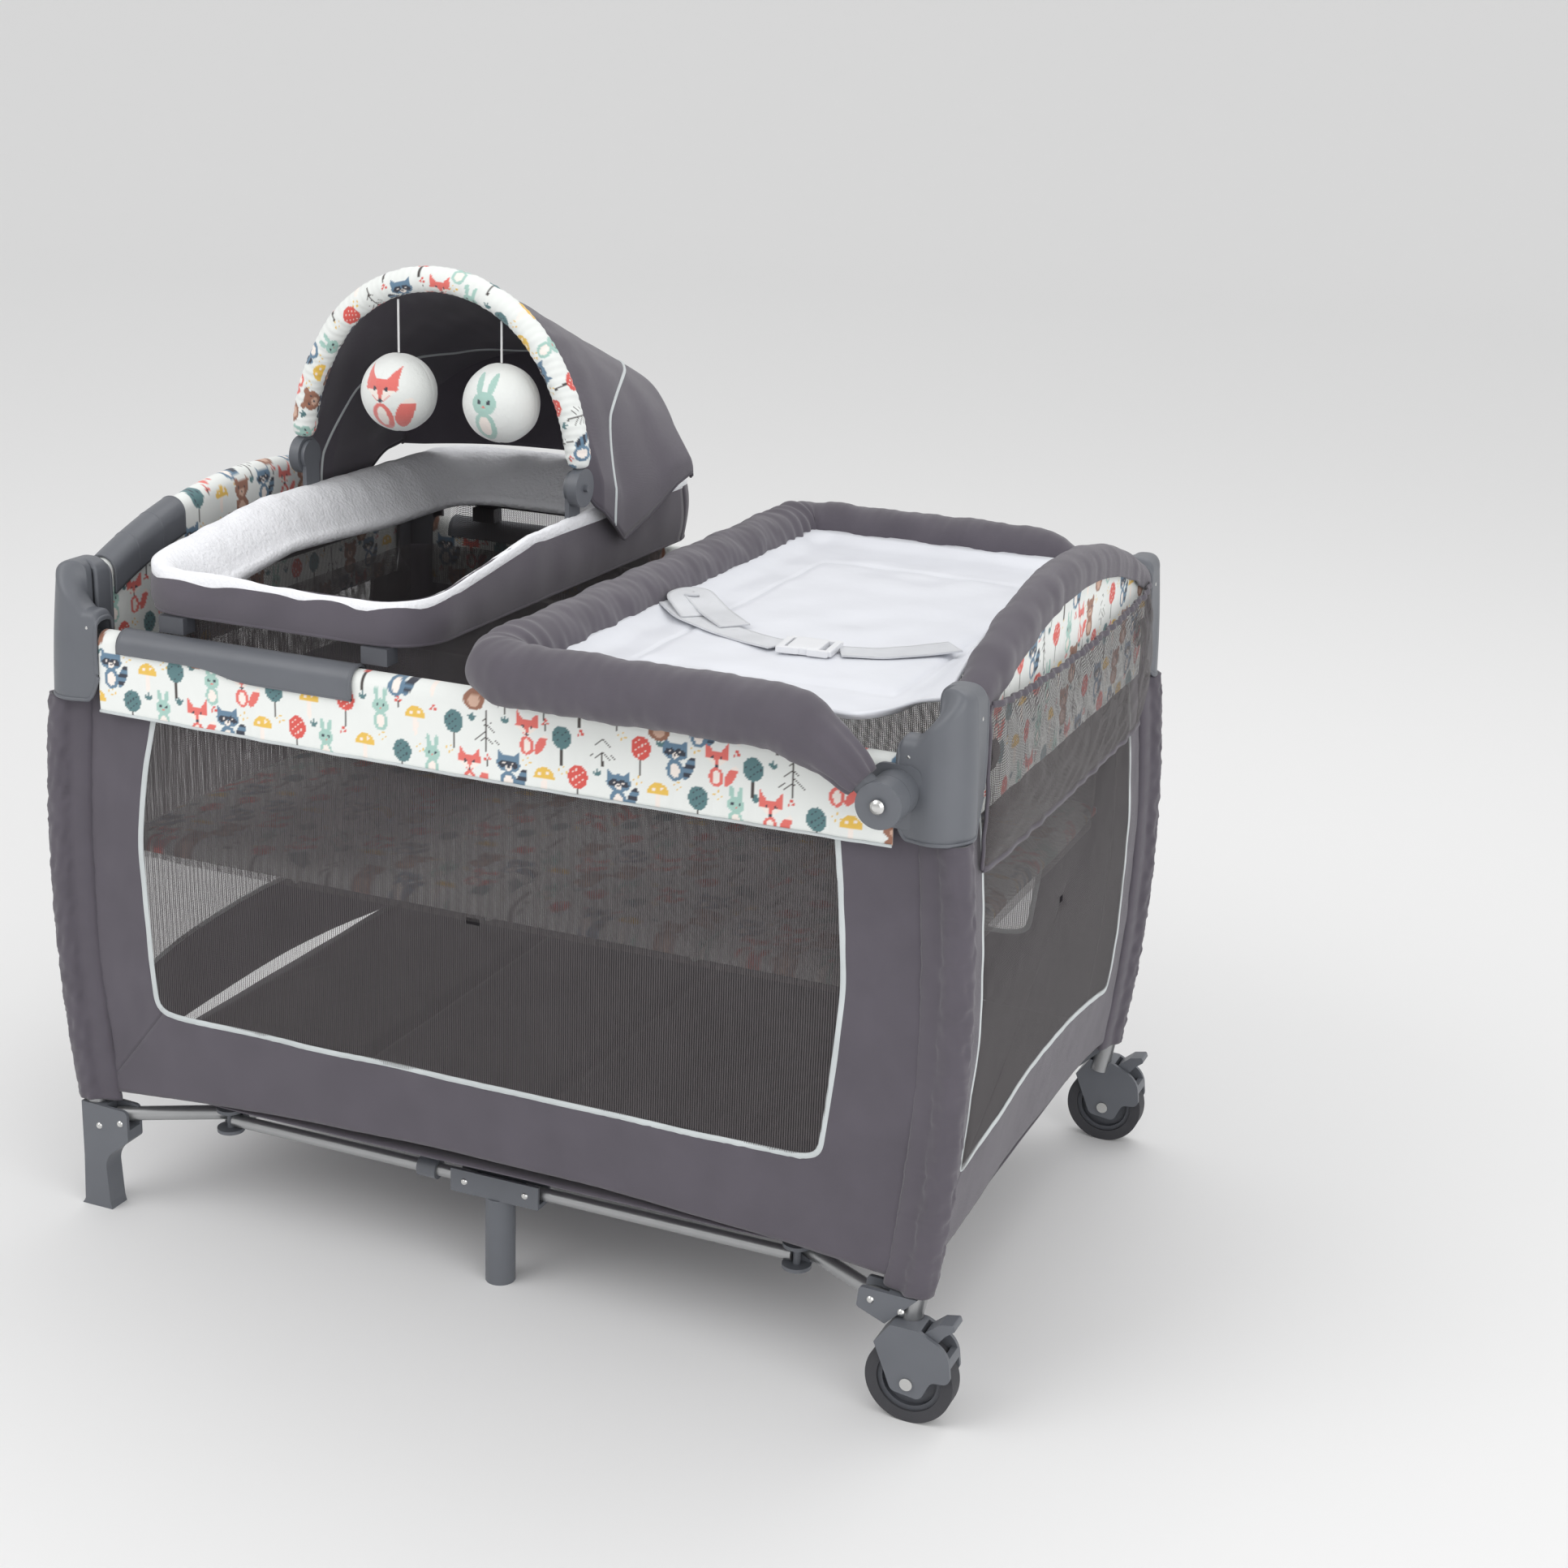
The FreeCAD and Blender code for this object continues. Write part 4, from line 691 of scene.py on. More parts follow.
# %% End bands
def end_band(section, ys, sign, seed):
    """The band's points along an arched end rail; its hem hangs level, at one height."""
    arch = end_z(ys)[:, None]
    share = np.clip(-section[None, :, 1] / 0.152, 0, 1)
    drop = np.where(section[None, :, 1] < 0, share * (0.600 - arch), section[None, :, 1])
    out = section[None, :, 0] + np.sign(section[None, :, 0]) * band_relief(ys, section, seed)
    return np.stack([sign * (END_X + out), np.broadcast_to(ys[:, None], out.shape), arch + drop], -1)


end_ys = np.linspace(-0.2853, 0.2853, 300)
for side, sign, rows in (("right", 1, (96, 8)), ("left", -1, (40, 76))):
    sew_band(f"{side}_band", lambda sec, ys: end_band(sec, ys, sign, 23), end_ys, rows,
                           lambda p: (p[:, 1], p[:, 2] - 0.6), 12 + sign)
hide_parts("end_bands")
print("end bands sewn")

# %% [markdown]
# ## Walls
# Each wall is a cloth frame with a large window of open mesh. A pale flat piping covers the
# seam between them. The frame is drawn as rings of points that grow from the window's outline
# to the wall's own outline, and the mesh is a grid stretched inside the same outline.

# %% Wall tools


def outline(left, right, low, high, count=90):
    """A closed outline: up the left side, along the top, down the right and back along the bottom.

    left and right give x for a height, and low and high give the height for x.
    """
    t = np.linspace(0, 1, count, endpoint=False)
    z_left = low(left(0.25)) + (high(0) - low(left(0.25))) * t
    z_right = high(0) + (low(right(0.25)) - high(0)) * t
    top = left(high(0)) + (right(high(0)) - left(high(0))) * t
    bottom = right(low(0)) + (left(low(0)) - right(low(0))) * t
    return np.concatenate([np.stack([left(z_left), z_left], -1),
                           np.stack([top, np.full(count, high(0))], -1),
                           np.stack([right(z_right), z_right], -1), np.stack([bottom, low(bottom)], -1)])


def wall_pieces(name, node, inner, outer, lay, body="yard"):
    """The cloth frame, the mesh window and the piping of one wall.

    inner and outer are matching outlines, and lay puts (across, height) onto the wall's surface.
    """
    rings = np.linspace(0, 1, 20)[:, None, None]
    flat = inner[None] * (1 - rings) + outer[None] * rings
    flat = np.concatenate([flat, flat[:, :1]], 1)
    cloth_points = lay(flat[..., 0], flat[..., 1], 1.0)
    panel = place_mesh(f"{name}_cloth", [slab(cloth_points, 0.0012)], gray_cloth)
    middle = inner.mean(0)
    web = middle + (inner[None] - middle) * np.linspace(0.02, 1.004, 14)[:, None, None]
    web = np.concatenate([web, web[:, :1]], 1)
    mesh_points = lay(web[..., 0], web[..., 1], 0.4)
    window = place_mesh(f"{name}_window", [slab(mesh_points, 0.0005)], mesh_cloth)
    for item in (panel, window):
        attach(item, body)
    sewn_sheet(panel, cloth_points, tuple(np.ptp(outer, axis=0)))
    sewn_sheet(window, mesh_points, tuple(np.ptp(inner, axis=0)))
    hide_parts(node)
    edge = np.concatenate([inner, inner[:2]])
    line = lay(edge[:, 0], edge[:, 1], 1.0)
    trim = place_mesh(f"{name}_piping", [carried(line, ring(0.0034, 0.0011, 12), lay.outwards)],
                      piping_cloth)
    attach(trim, body)
    return panel


class LongWall:
    """Lays a wall flat between two long-side posts, with soft waves in the cloth."""

    def __init__(self, sign):
        self.sign, self.outwards = sign, np.array([0.0, sign, 0.0])

    def __call__(self, x, z, wave):
        bulge = wave * (0.0016 * ripple(x, z, 31, 0.16) + 0.0004 * ripple(x, z * 0.4, 32, 0.02))
        return np.stack([x, self.sign * (YARD_Y + 0.0004 + bulge), z], -1)


class EndWall:
    """Lays a wall on the bowed surface between two end posts."""

    def __init__(self, sign):
        self.sign, self.outwards = sign, np.array([float(sign), 0.0, 0.0])

    def __call__(self, y, z, wave):
        bulge = wave * (0.0016 * ripple(y, z, 41, 0.16) + 0.0004 * ripple(y, z * 0.4, 42, 0.02))
        return np.stack([self.sign * (post_x(z) + bulge), y, z], -1)


print("wall tools ready")

# %% Sew the walls
long_inner = softened(outline(lambda z: -0.405 + 0.36 * np.maximum(z - 0.44, 0) ** 1.6
                              + 0.11 * np.abs(z - 0.43) ** 1.3,
                              lambda z: 0.392 - 0.16 * np.abs(z - 0.43) ** 1.3,
                              lambda x: 0.245 + 0 * x, lambda x: 0.600 + 0 * x), 6, closed=True)
long_outer = outline(lambda z: -(post_x(z) - 0.012), lambda z: post_x(z) - 0.012,
                     lambda x: 0.137 + 0.026 * (1 - (x / 0.49) ** 2), lambda x: 0.602 + 0 * x)
end_inner = softened(outline(lambda z: -0.262 + 0 * z, lambda z: 0.262 + 0 * z,
                             lambda y: 0.225 + 0.03 * (1 - (y / 0.262) ** 2), lambda y: 0.618 + 0 * y),
                             5, closed=True)
end_outer = outline(lambda z: -0.318 + 0 * z, lambda z: 0.318 + 0 * z,
                    lambda y: 0.137 + 0.026 * (1 - (y / 0.333) ** 2), lambda y: 0.620 + 0 * y)
for side, sign in (("front", -1), ("back", 1)):
    wall_pieces(f"wall_{side}", f"wall_{side}", long_inner, long_outer, LongWall(sign))
for side, sign in (("left", -1), ("right", 1)):
    wall_pieces(f"wall_{side}", f"wall_{side}", end_inner, end_outer, EndWall(sign))
print("four walls sewn")

# %% [markdown]
# ## Corner sleeves
# The cloth wraps each post in a sleeve, gathered so that it wrinkles across the post. Its
# section is a circle with two low tails, which run out into the walls on both sides.

# %% Sleeves
heights = np.linspace(0.131, 0.590, 165)
sleeve_grids = []
for sx in (-1, 1):
    for sy in (-1, 1):
        angle = np.linspace(0, 2 * math.pi, 52, endpoint=False)[None, :]
        lobe = sum(np.exp(-(np.angle(np.exp(1j * (angle - a))) / 0.30) ** 2)
                   for a in (math.pi if sx > 0 else 0.0, -sy * math.pi / 2))
        pucker = ripple(heights[:, None], angle * 0.02, 50 + sx + 3 * sy, 0.018) * 0.0011
        pucker = pucker + ripple(heights[:, None], angle * 0.004, 60 + sx + 3 * sy, 0.007) * 0.0005
        radius = 0.0165 + 0.020 * lobe + pucker * (1 - 0.4 * lobe)
        ring_points = np.stack([sx * post_x(heights)[:, None] + radius * np.cos(angle),
                                sy * YARD_Y + radius * np.sin(angle),
                                np.broadcast_to(heights[:, None], radius.shape)], -1)
        bore = np.full_like(radius, 0.0125)
        inside = np.stack([sx * post_x(heights)[:, None] + bore * np.cos(angle),
                           sy * YARD_Y + bore * np.sin(angle),
                           np.broadcast_to(heights[:, None], radius.shape)], -1)
        sleeve_grids.append(np.concatenate([inside[:1], ring_points, inside[::-1]]))
sleeves = place_mesh("post_sleeves", sleeve_grids, gray_cloth)
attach(sleeves, "yard")
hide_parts("corner_sleeves")
print("sleeves sewn")

# %% [markdown]
# ## Corner brackets
# The moulded bracket is a saddle that straddles both rails at a corner. Its section is an
# upside-down U carried round the corner. The crest is high beside the end rail, scoops down,
# and ends in a low horn on the long rail. A raised bead stiffens its edges.

# %% Bracket shells


def bracket_grids(sx, sy):
    """The shell and its edge beads."""
    run = spread(np.concatenate([
        [[0.438, YARD_Y]], [[END_X - 0.014 + 0.014 * math.sin(a), YARD_Y - 0.014 + 0.014 * math.cos(a)]
                            for a in np.linspace(0, math.pi / 2, 12)], [[END_X, 0.2865]]]), 90)
    s = np.linspace(0, 1, 90)
    crest = (0.685 + 0.044 * np.clip((s - 0.18) / 0.36, 0, 1) ** 1.5
             - 0.008 * np.clip((s - 0.90) / 0.10, 0, 1) ** 2
             - 0.010 * np.clip((0.07 - s) / 0.07, 0, 1) ** 2)
    bottom = (0.5915 + 0.026 * np.clip((0.17 - s) / 0.17, 0, 1) ** 2
              + 0.030 * np.clip((s - 0.6) / 0.4, 0, 1) ** 1.5)
    flare = 0.0080 * np.exp(-((s - 0.46) / 0.28) ** 2)
    half = 0.0138 + 0.0045 * np.clip((s - 0.35) / 0.3, 0, 1)
    inner_half = np.where((s > 0.35) & (s < 0.72), 0.0130, half)
    way = unit(np.gradient(run, axis=0))
    out = np.stack([-way[:, 1], way[:, 0]], -1)
    out *= np.sign((out * [1, 1]).sum(1, keepdims=True))
    turn = np.linspace(0, math.pi, 22)
    rise = np.linspace(0, 1, 20)[:, None]
    shoulder = crest - half * 0.9
    bulge = 0.0012 * np.sin(rise[:, 0] * math.pi)
    cols = [np.stack([half + b + flare * (1 - r), bottom + (shoulder - bottom) * r], -1)
            for r, b in zip(rise[:, 0], bulge)]
    for a in turn[1:-1]:
        w = half if a < math.pi / 2 else inner_half
        cols.append(np.stack([w * np.sign(math.cos(a)) * abs(math.cos(a)) ** 0.75,
                              shoulder + half * 0.9 * math.sin(a) ** 0.75], -1))
    for r in rise[::-1, 0]:
        cols.append(np.stack([-inner_half, bottom + (shoulder - bottom) * r], -1))
    section = np.stack(cols, 1)
    grid = np.concatenate([run[:, None] + out[:, None] * section[..., :1], section[..., 1:]], -1)
    grid = grid * [sx, sy, 1]
    shell = slab(grid if sx * sy > 0 else grid[::-1], 0.0024)
    beads = [carried(line, ring(0.0022, count=12), np.array([0.3, 0.2, 1.0]))
             for line in (grid[1, 2:-2], grid[-2, 2:-2], grid[:, 0])]
    return [shell] + beads


bracket = place_mesh("corner_bracket_shells",
                     [g for sx in (-1, 1) for sy in (-1, 1) for g in bracket_grids(sx, sy)], plastic)
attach(bracket, "yard")
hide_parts("corner_brackets")
print("brackets moulded")


def rivet_grid(place, way, radius=0.0055, height=0.0026):
    """A domed rivet head with a flat washer under it."""
    way = unit(np.array(way, float))
    across = unit(np.cross(way, [0.3, 0.2, 0.9]))
    other = np.cross(way, across)
    profile = np.array([[0, 0], [1.0, 0], [1.0, 0.22], [0.78, 0.3], [0.7, 0.62], [0.45, 0.92], [0, 1.0]])
    turn = np.linspace(0, 2 * math.pi, 20, endpoint=False)
    radial = across * np.cos(turn)[:, None] + other * np.sin(turn)[:, None]
    return (np.array(place) + profile[:, None, :1] * radius * radial[None]
            + profile[:, None, 1:] * height * way)


# %% Bracket rivets
studs = []
for sx in (-1, 1):
    for sy in (-1, 1):
        studs.append(rivet_grid((sx * 0.475, sy * 0.3475, 0.648), (0, sy, 0), 0.0068, 0.0030))
        studs.append(rivet_grid((sx * 0.449, sy * 0.3470, 0.668), (0, sy, 0), 0.0030, 0.0016))
        studs.append(rivet_grid((sx * 0.5008, sy * 0.303, 0.700), (sx, 0, 0), 0.0034, 0.0018))
bracket_studs = place_mesh("bracket_rivets", studs, rivet_steel)
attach(bracket_studs, "yard")
print("rivets set")

# %% [markdown]
# ## Rail guards
# Three smooth plastic guards clip over the bands where hands and the napper's hooks rest. They
# are half pipes, and the skirts of the long ones are deeper over part of their length.

# %% Guards


def guard_grid(line, outwards, depth, radius=0.0164):
    """A half pipe over a rail: skirt, round top and skirt; depth is given at each point."""
    turn = np.linspace(0, math.pi, 21)
    skirt = np.linspace(1, 0, 8)[:, None]
    side = np.concatenate([np.full(8, radius), radius * np.cos(turn[1:-1]), np.full(8, -radius)])
    fall = np.concatenate([-skirt[:, 0], np.zeros(19), -skirt[::-1, 0]])
    high = np.concatenate([np.zeros(8), radius * np.sin(turn[1:-1]), np.zeros(8)])
    return (line[:, None] + outwards * side[None, :, None]
            + np.array([0, 0, 1.0]) * (high[None] + fall[None] * depth[:, None])[..., None])


guard_parts = []
for sign in (-1, 1):
    xs = np.linspace(-0.412, -0.132, 110)
    depth = 0.005 + 0.010 / (1 + np.exp(-(xs + 0.285) / 0.011))
    line = np.stack([xs, np.full_like(xs, sign * YARD_Y), np.full_like(xs, RAIL_Z)], -1)
    grid = guard_grid(line, np.array([0, 1.0, 0]), depth)
    guard_parts.append(slab(grid, 0.0024))
    for i in (1, -2):
        guard_parts.append(carried(grid[i], ring(0.0018, count=10), np.array([1.0, 0, 0])))
    for j in (0, -1):
        guard_parts.append(carried(grid[:, j], ring(0.0014, count=10), np.array([0, 0, 1.0])))
ys = np.linspace(-0.277, -0.153, 90)
line = np.stack([np.full_like(ys, -END_X), ys, end_z(ys)], -1)
grid = guard_grid(line, np.array([1.0, 0, 0]), np.full_like(ys, 0.022))
guard_parts.append(slab(grid, 0.0024))
for i in (1, 30, 60, -2):
    guard_parts.append(carried(grid[i], ring(0.0017, count=10), np.array([0, 1.0, 0])))
guards = place_mesh("moulded_guards", guard_parts, plastic)
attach(guards, "yard")
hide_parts("rail_guards")
print("guards moulded")

# %% [markdown]
# ## Napper
# The napper is a basket for a newborn. A gray cloth panel runs round the outside, a white
# plush collar slopes from the panel's top edge down into the basket, and mesh hangs below it.
# The collar is wide along the left side and the back, and narrows to a thin roll at the front
# and the right.

# %% Napper outlines
NAP_X, NAP_W, NAP_L = -0.238, 0.175, 0.330


def nap_plan(inset, radius, count=60):
    """A closed round-cornered rectangle of the napper's plan, drawn in by an inset."""
    w, l = NAP_W - inset, NAP_L - inset
    quarter = np.linspace(0, math.pi / 2, 14)
    parts = []
    for cx, cy, start in ((w, l, 0), (-w, l, 1), (-w, -l, 2), (w, -l, 3)):
        a = quarter + start * math.pi / 2
        parts.append(np.stack([cx - np.sign(cx) * radius + radius * np.cos(a),
                               cy - np.sign(cy) * radius + radius * np.sin(a)], -1))
    loop = np.concatenate(parts)
    return spread(np.concatenate([loop, loop[:1]]), 4 * count + 1) + [NAP_X, 0]


def rim_z(y):
    """The rim climbs from the front, and is level from a third of the way back."""
    return 0.745 + 0.030 * np.clip((y + NAP_L) / 0.23, 0, 1)


plan_outer, plan_count = nap_plan(0.003, 0.058), 241
print("napper plan has", plan_count, "stations")

# %% Outer panel
rise = np.linspace(0, 1, 34)[:, None]
low_z = 0.690
top_line = rim_z(plan_outer[:, 1])[None] - 0.012
gathers = np.exp(-(np.minimum(np.abs(plan_outer[:, 1][None] + NAP_L - 0.02), 0.06) / 0.025) ** 2)
run = np.linspace(0, 1.9, plan_count)[None]
loose = np.sin(math.pi * np.clip(rise * 1.05, 0, 1)) ** 0.6
swell = 0.0050 * np.sin(math.pi * rise) + loose * (
    0.0018 * ripple(run, rise * 0.05, 71, 0.07) + 0.0006 * gathers * np.sin(run * 700 + 4 * rise))
inwards = unit(np.stack([-(plan_outer[:, 0] - NAP_X) / NAP_W, -plan_outer[:, 1] / NAP_L], -1) ** 3)
flat_plan = plan_outer[None] - inwards[None] * (swell[..., None] - 0.004)
panel_points = np.concatenate([flat_plan, (low_z + (top_line - low_z) * rise)[..., None]], -1)
panel = place_mesh("napper_side", [slab(panel_points, 0.003)], gray_cloth)
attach(panel, "napper")
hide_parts("napper_panel")
sewn_sheet(panel, panel_points)
hem = np.stack([flat_plan[0, :, 0], flat_plan[0, :, 1], np.full(plan_count, low_z)], -1)
piping("napper_side_hem", hem, 0.0024, gray_cloth, "napper")

# %% Plush collar
wide_left, wide_right, wide_front, wide_back = 0.062, 0.020, 0.016, 0.078


def collar_inner(count=60):
    """The collar's inner edge: further in on the left and at the back than elsewhere."""
    flat = nap_plan(0.0, 0.058, count) - [NAP_X, 0]
    low = np.array([-NAP_W, -NAP_L]) + [wide_left, wide_front]
    high = np.array([NAP_W, NAP_L]) - [wide_right, wide_back]
    share = (flat / [NAP_W, NAP_L] + 1) / 2
    return low + (high - low) * share + [NAP_X, 0]


plan_inner = collar_inner()
across = np.linspace(0, 1, 18)[:, None]
mix = plan_outer[None] * (1 - across[..., None]) + plan_inner[None] * across[..., None]
reach = np.linalg.norm(plan_outer - plan_inner, axis=1)[None]
crown = (0.0125 * np.sin(np.clip(across * 1.15, 0, 1) * math.pi) ** 0.8
         * np.clip((reach - 0.012) / 0.03, 0.22, 1))
slope = -0.62 * np.minimum(reach, 0.075) * across ** 1.25
fluff = np.clip(reach / 0.05, 0.1, 1) * np.sin(math.pi * across) ** 0.7 * (
    0.0022 * ripple(mix[..., 0], mix[..., 1], 77, 0.045)
    + 0.0008 * ripple(mix[..., 0], mix[..., 1], 78, 0.014))
top_z = rim_z(plan_outer[:, 1])[None] - 0.013
collar_top = np.concatenate([mix, (top_z + crown + slope + fluff)[..., None]], -1)
collar_low = np.concatenate([mix[::-1], (top_z + slope[::-1] - 0.009
                                         - 0.004 * np.sin(across * math.pi))[..., None]], -1)
collar = place_mesh("plush_collar", [np.concatenate([collar_top, collar_low, collar_top[:1]])], plush)
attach(collar, "napper")
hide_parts("napper_rim")
print("plush collar sewn")

# %% Mesh basket and its pad
tub_low, tub_top = 0.578, rim_z(plan_outer[:, 1])[None] - 0.050
drop = np.linspace(0, 1, 26)[:, None]
inset = 0.027 + 0.006 * np.sin(drop * math.pi) + 0.0015 * ripple(run, drop * 0.15, 83, 0.06)
basket_plan = plan_outer[None] + inwards[None] * (inset - 0.003)[..., None]
walls_points = np.concatenate([basket_plan, (tub_top + (tub_low - tub_top) * drop)[..., None]], -1)
shrink = np.linspace(1, 0.001, 14)[:, None, None]
bottom = np.concatenate([(basket_plan[-1:] - [NAP_X, 0]) * shrink + [NAP_X, 0],
                         np.full((14, plan_count, 1), tub_low)], -1)
basket_points = np.concatenate([walls_points, bottom[1:]])
basket = place_mesh("mesh_basket", [slab(basket_points, 0.0010)], fine_mesh)
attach(basket, "napper")
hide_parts("napper_tub")
sewn_sheet(basket, basket_points)
pad_plan = basket_plan[-1]
fill = np.linspace(1, 0.001, 30)[:, None, None]
pad_flat = (pad_plan[None] - [NAP_X, 0]) * (fill * 0.97) + [NAP_X, 0]
plump = (0.0105 * (1 - (fill[..., 0] ** 6))
         - 0.0016 * np.exp(-(np.sin(pad_flat[..., 1] / 0.16 * math.pi) / 0.12) ** 2))
pad_top = np.concatenate([pad_flat, (tub_low + 0.0045 + plump)[..., None]], -1)
pad_low = np.concatenate([pad_flat[::-1], np.full(pad_flat.shape[:2] + (1,), tub_low + 0.0028)], -1)
pad = place_mesh("napper_mattress", [np.concatenate([pad_top[::-1], pad_low[::-1]])], stay_cloth)
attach(pad, "napper")
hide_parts("napper_pad")
binding = np.concatenate([basket_plan[1], tub_top.T - 0.002], 1)
piping("basket_binding", binding, 0.0030, dark_cloth, "napper", squash=1.6)
print("basket and mattress in place")

# %% [markdown]
# ## Canopy
# The bow is a steel hoop inside a padded printed roll. Its line is a three-centred arch: two
# flat flanks and a rounder crown. The hood is one curved sheet behind it, which falls from the
# bow to a low back edge. A piped seam leans forward down each side, and the sides hang over
# the napper's edge.

# %% Bow line
PIVOT_Z, RISE, SPAN = 0.798, 0.208, 0.175
FLANK = RISE * RISE / SPAN
CROWN_UP = ((FLANK - RISE) ** 2 - (FLANK - SPAN) ** 2) / (2 * (RISE - FLANK))
CROWN = RISE - CROWN_UP
TURN = math.atan2(CROWN_UP, FLANK - SPAN)


def bow_line(count):
    """Points of the arch from the right pivot over the crown to the left pivot."""
    flank = np.linspace(0, TURN, 60)
    crown = np.linspace(TURN, math.pi - TURN, 120)
    right_side = np.stack([SPAN - FLANK + FLANK * np.cos(flank), FLANK * np.sin(flank)], -1)
    over = np.stack([CROWN * np.cos(crown), CROWN_UP + CROWN * np.sin(crown)], -1)
    flat = np.concatenate([right_side, over[1:-1], right_side[::-1] * [-1, 1]])
    flat = spread(flat, count)
    return np.stack([NAP_X + flat[:, 0], np.zeros(count), PIVOT_Z + flat[:, 1]], -1)


bow = bow_line(420)
keep = (bow[:, 2] > PIVOT_Z + 0.021)
roll_line = spread(bow[keep], 380)
along = np.linspace(0, 0.62, 380)[:, None]
angle = np.linspace(0, 2 * math.pi, 72, endpoint=False)[None]
end_soft = np.clip(np.minimum(along, 0.62 - along) / 0.012, 0, 1) ** 0.5
radius = (0.0136 + 0.0006 * ripple(along, angle * 0.014, 91, 0.02)
          + 0.0003 * np.sin(along * 700 + 2 * np.sin(angle))) * (
    0.55 + 0.45 * end_soft)
section = np.stack([radius * np.cos(angle), radius * np.sin(angle)], -1)
roll_grid = carried(roll_line, section, np.array([0, 1.0, 0]))
roll_piece = place_mesh("bow_roll", [roll_grid], print_cloth)


def roll_flat(p):
    """Length along the arch and way round the roll, as flat cloth."""
    where = np.arctan2(p[:, 2] - PIVOT_Z, p[:, 0] - NAP_X)
    near = np.hypot(p[:, 0] - NAP_X, p[:, 2] - PIVOT_Z)
    line = np.interp(where, np.arctan2(bow[:, 2] - PIVOT_Z, bow[:, 0] - NAP_X),
                     np.hypot(bow[:, 0] - NAP_X, bow[:, 2] - PIVOT_Z))
    return where * 0.195, np.arctan2(p[:, 1], near - line) * 0.0145


paint(roll_piece, roll_flat, 17)
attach(roll_piece, "canopy")
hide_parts("canopy_roll")
print("bow roll sewn")

# %% Hood
t = np.linspace(0, 1, 90)[:, None]
arch = spread(bow[bow[:, 2] > 0.792], 130)
side = (arch[:, 0] - NAP_X)[None] / SPAN
high = (arch[:, 2] - PIVOT_Z)[None]
height_left = 1 - 0.52 * np.clip((t - 0.10) / 0.90, 0, 1) ** 1.25 - 0.02 * np.sin(t * math.pi)
depth = 0.010 + t * (0.286 - 0.055 * np.abs(side) ** 3)
low = np.clip(1 - high / 0.075, 0, 1) ** 1.3
drop = low * np.interp(t, [0, 0.06, 0.30, 0.55, 0.85, 1.0], [0, 0.022, 0.068, 0.052, 0.026, 0.018])
wide = 1 + 0.095 * np.clip(t / 0.09, 0, 1) * np.clip(low * 1.6, 0, 1) + 0.03 * t
sag = 0.006 * np.sin(t * math.pi) * np.clip(high / RISE, 0, 1) ** 2
creases = (0.0022 * ripple(depth + 0 * side, side * 0.2, 95, 0.09)
           + 0.0012 * ripple(depth * 0.5, side * 0.3, 96, 0.03) * (1 - t))
hood_points = np.stack([NAP_X + side * SPAN * wide * (0.985 + creases * 3),
                        depth + 0.012 * t * (1 - np.abs(side)) + 0 * high,
                        0.790 + (PIVOT_Z - 0.790 + high) * height_left - sag + creases - drop], -1)
back_fall = np.linspace(0, 1, 26)[1:, None]
edge = hood_points[-1][None]
back_points = np.concatenate([edge[..., :1] + 0 * back_fall[..., None],
                              edge[..., 1:2] + 0.006 * np.sin(back_fall * math.pi)[..., None],
                              (0.773 + (edge[..., 2] - 0.773) * (1 - back_fall))[..., None]], -1)
hood_grid = np.concatenate([hood_points, back_points])
hood = place_mesh("canopy_cover", [slab(hood_grid, 0.0014)], gray_cloth)
sewn_sheet(hood, hood_grid)
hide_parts("canopy_hood")
seam_t = np.clip(1 - 0.8 * np.abs(side[0]) ** 3, 0.2, 0.98) * 89
row, part = seam_t.astype(int), (seam_t % 1)[:, None]
seam_line = hood_points[row, np.arange(130)] * (1 - part) + hood_points[row + 1, np.arange(130)] * part
seam = place_mesh("canopy_seam", [carried(spread(seam_line, 200), ring(0.0022, count=12),
                                          np.array([0, 1.0, 0]))],
                  piping_cloth)
hem_line = np.concatenate([hood_grid[1:, 0][::-1], hood_grid[0, 1:-1], hood_grid[1:, -1]])
hood_hem = place_mesh("canopy_hem", [carried(spread(hem_line, 260), ring(0.0018, count=12),
                                             np.array([0.3, 0.8, 0.5]))],
                      dark_cloth)
for item in (hood, seam, hood_hem):
    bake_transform(item)
print("hood draped")

# %% [markdown]
# ## Plush toys
# Two round plush toys hang from the bow on strings. Each is a stuffed ball, slightly flattened
# by its seam, with a simple animal of ovals printed on the side that faces out.

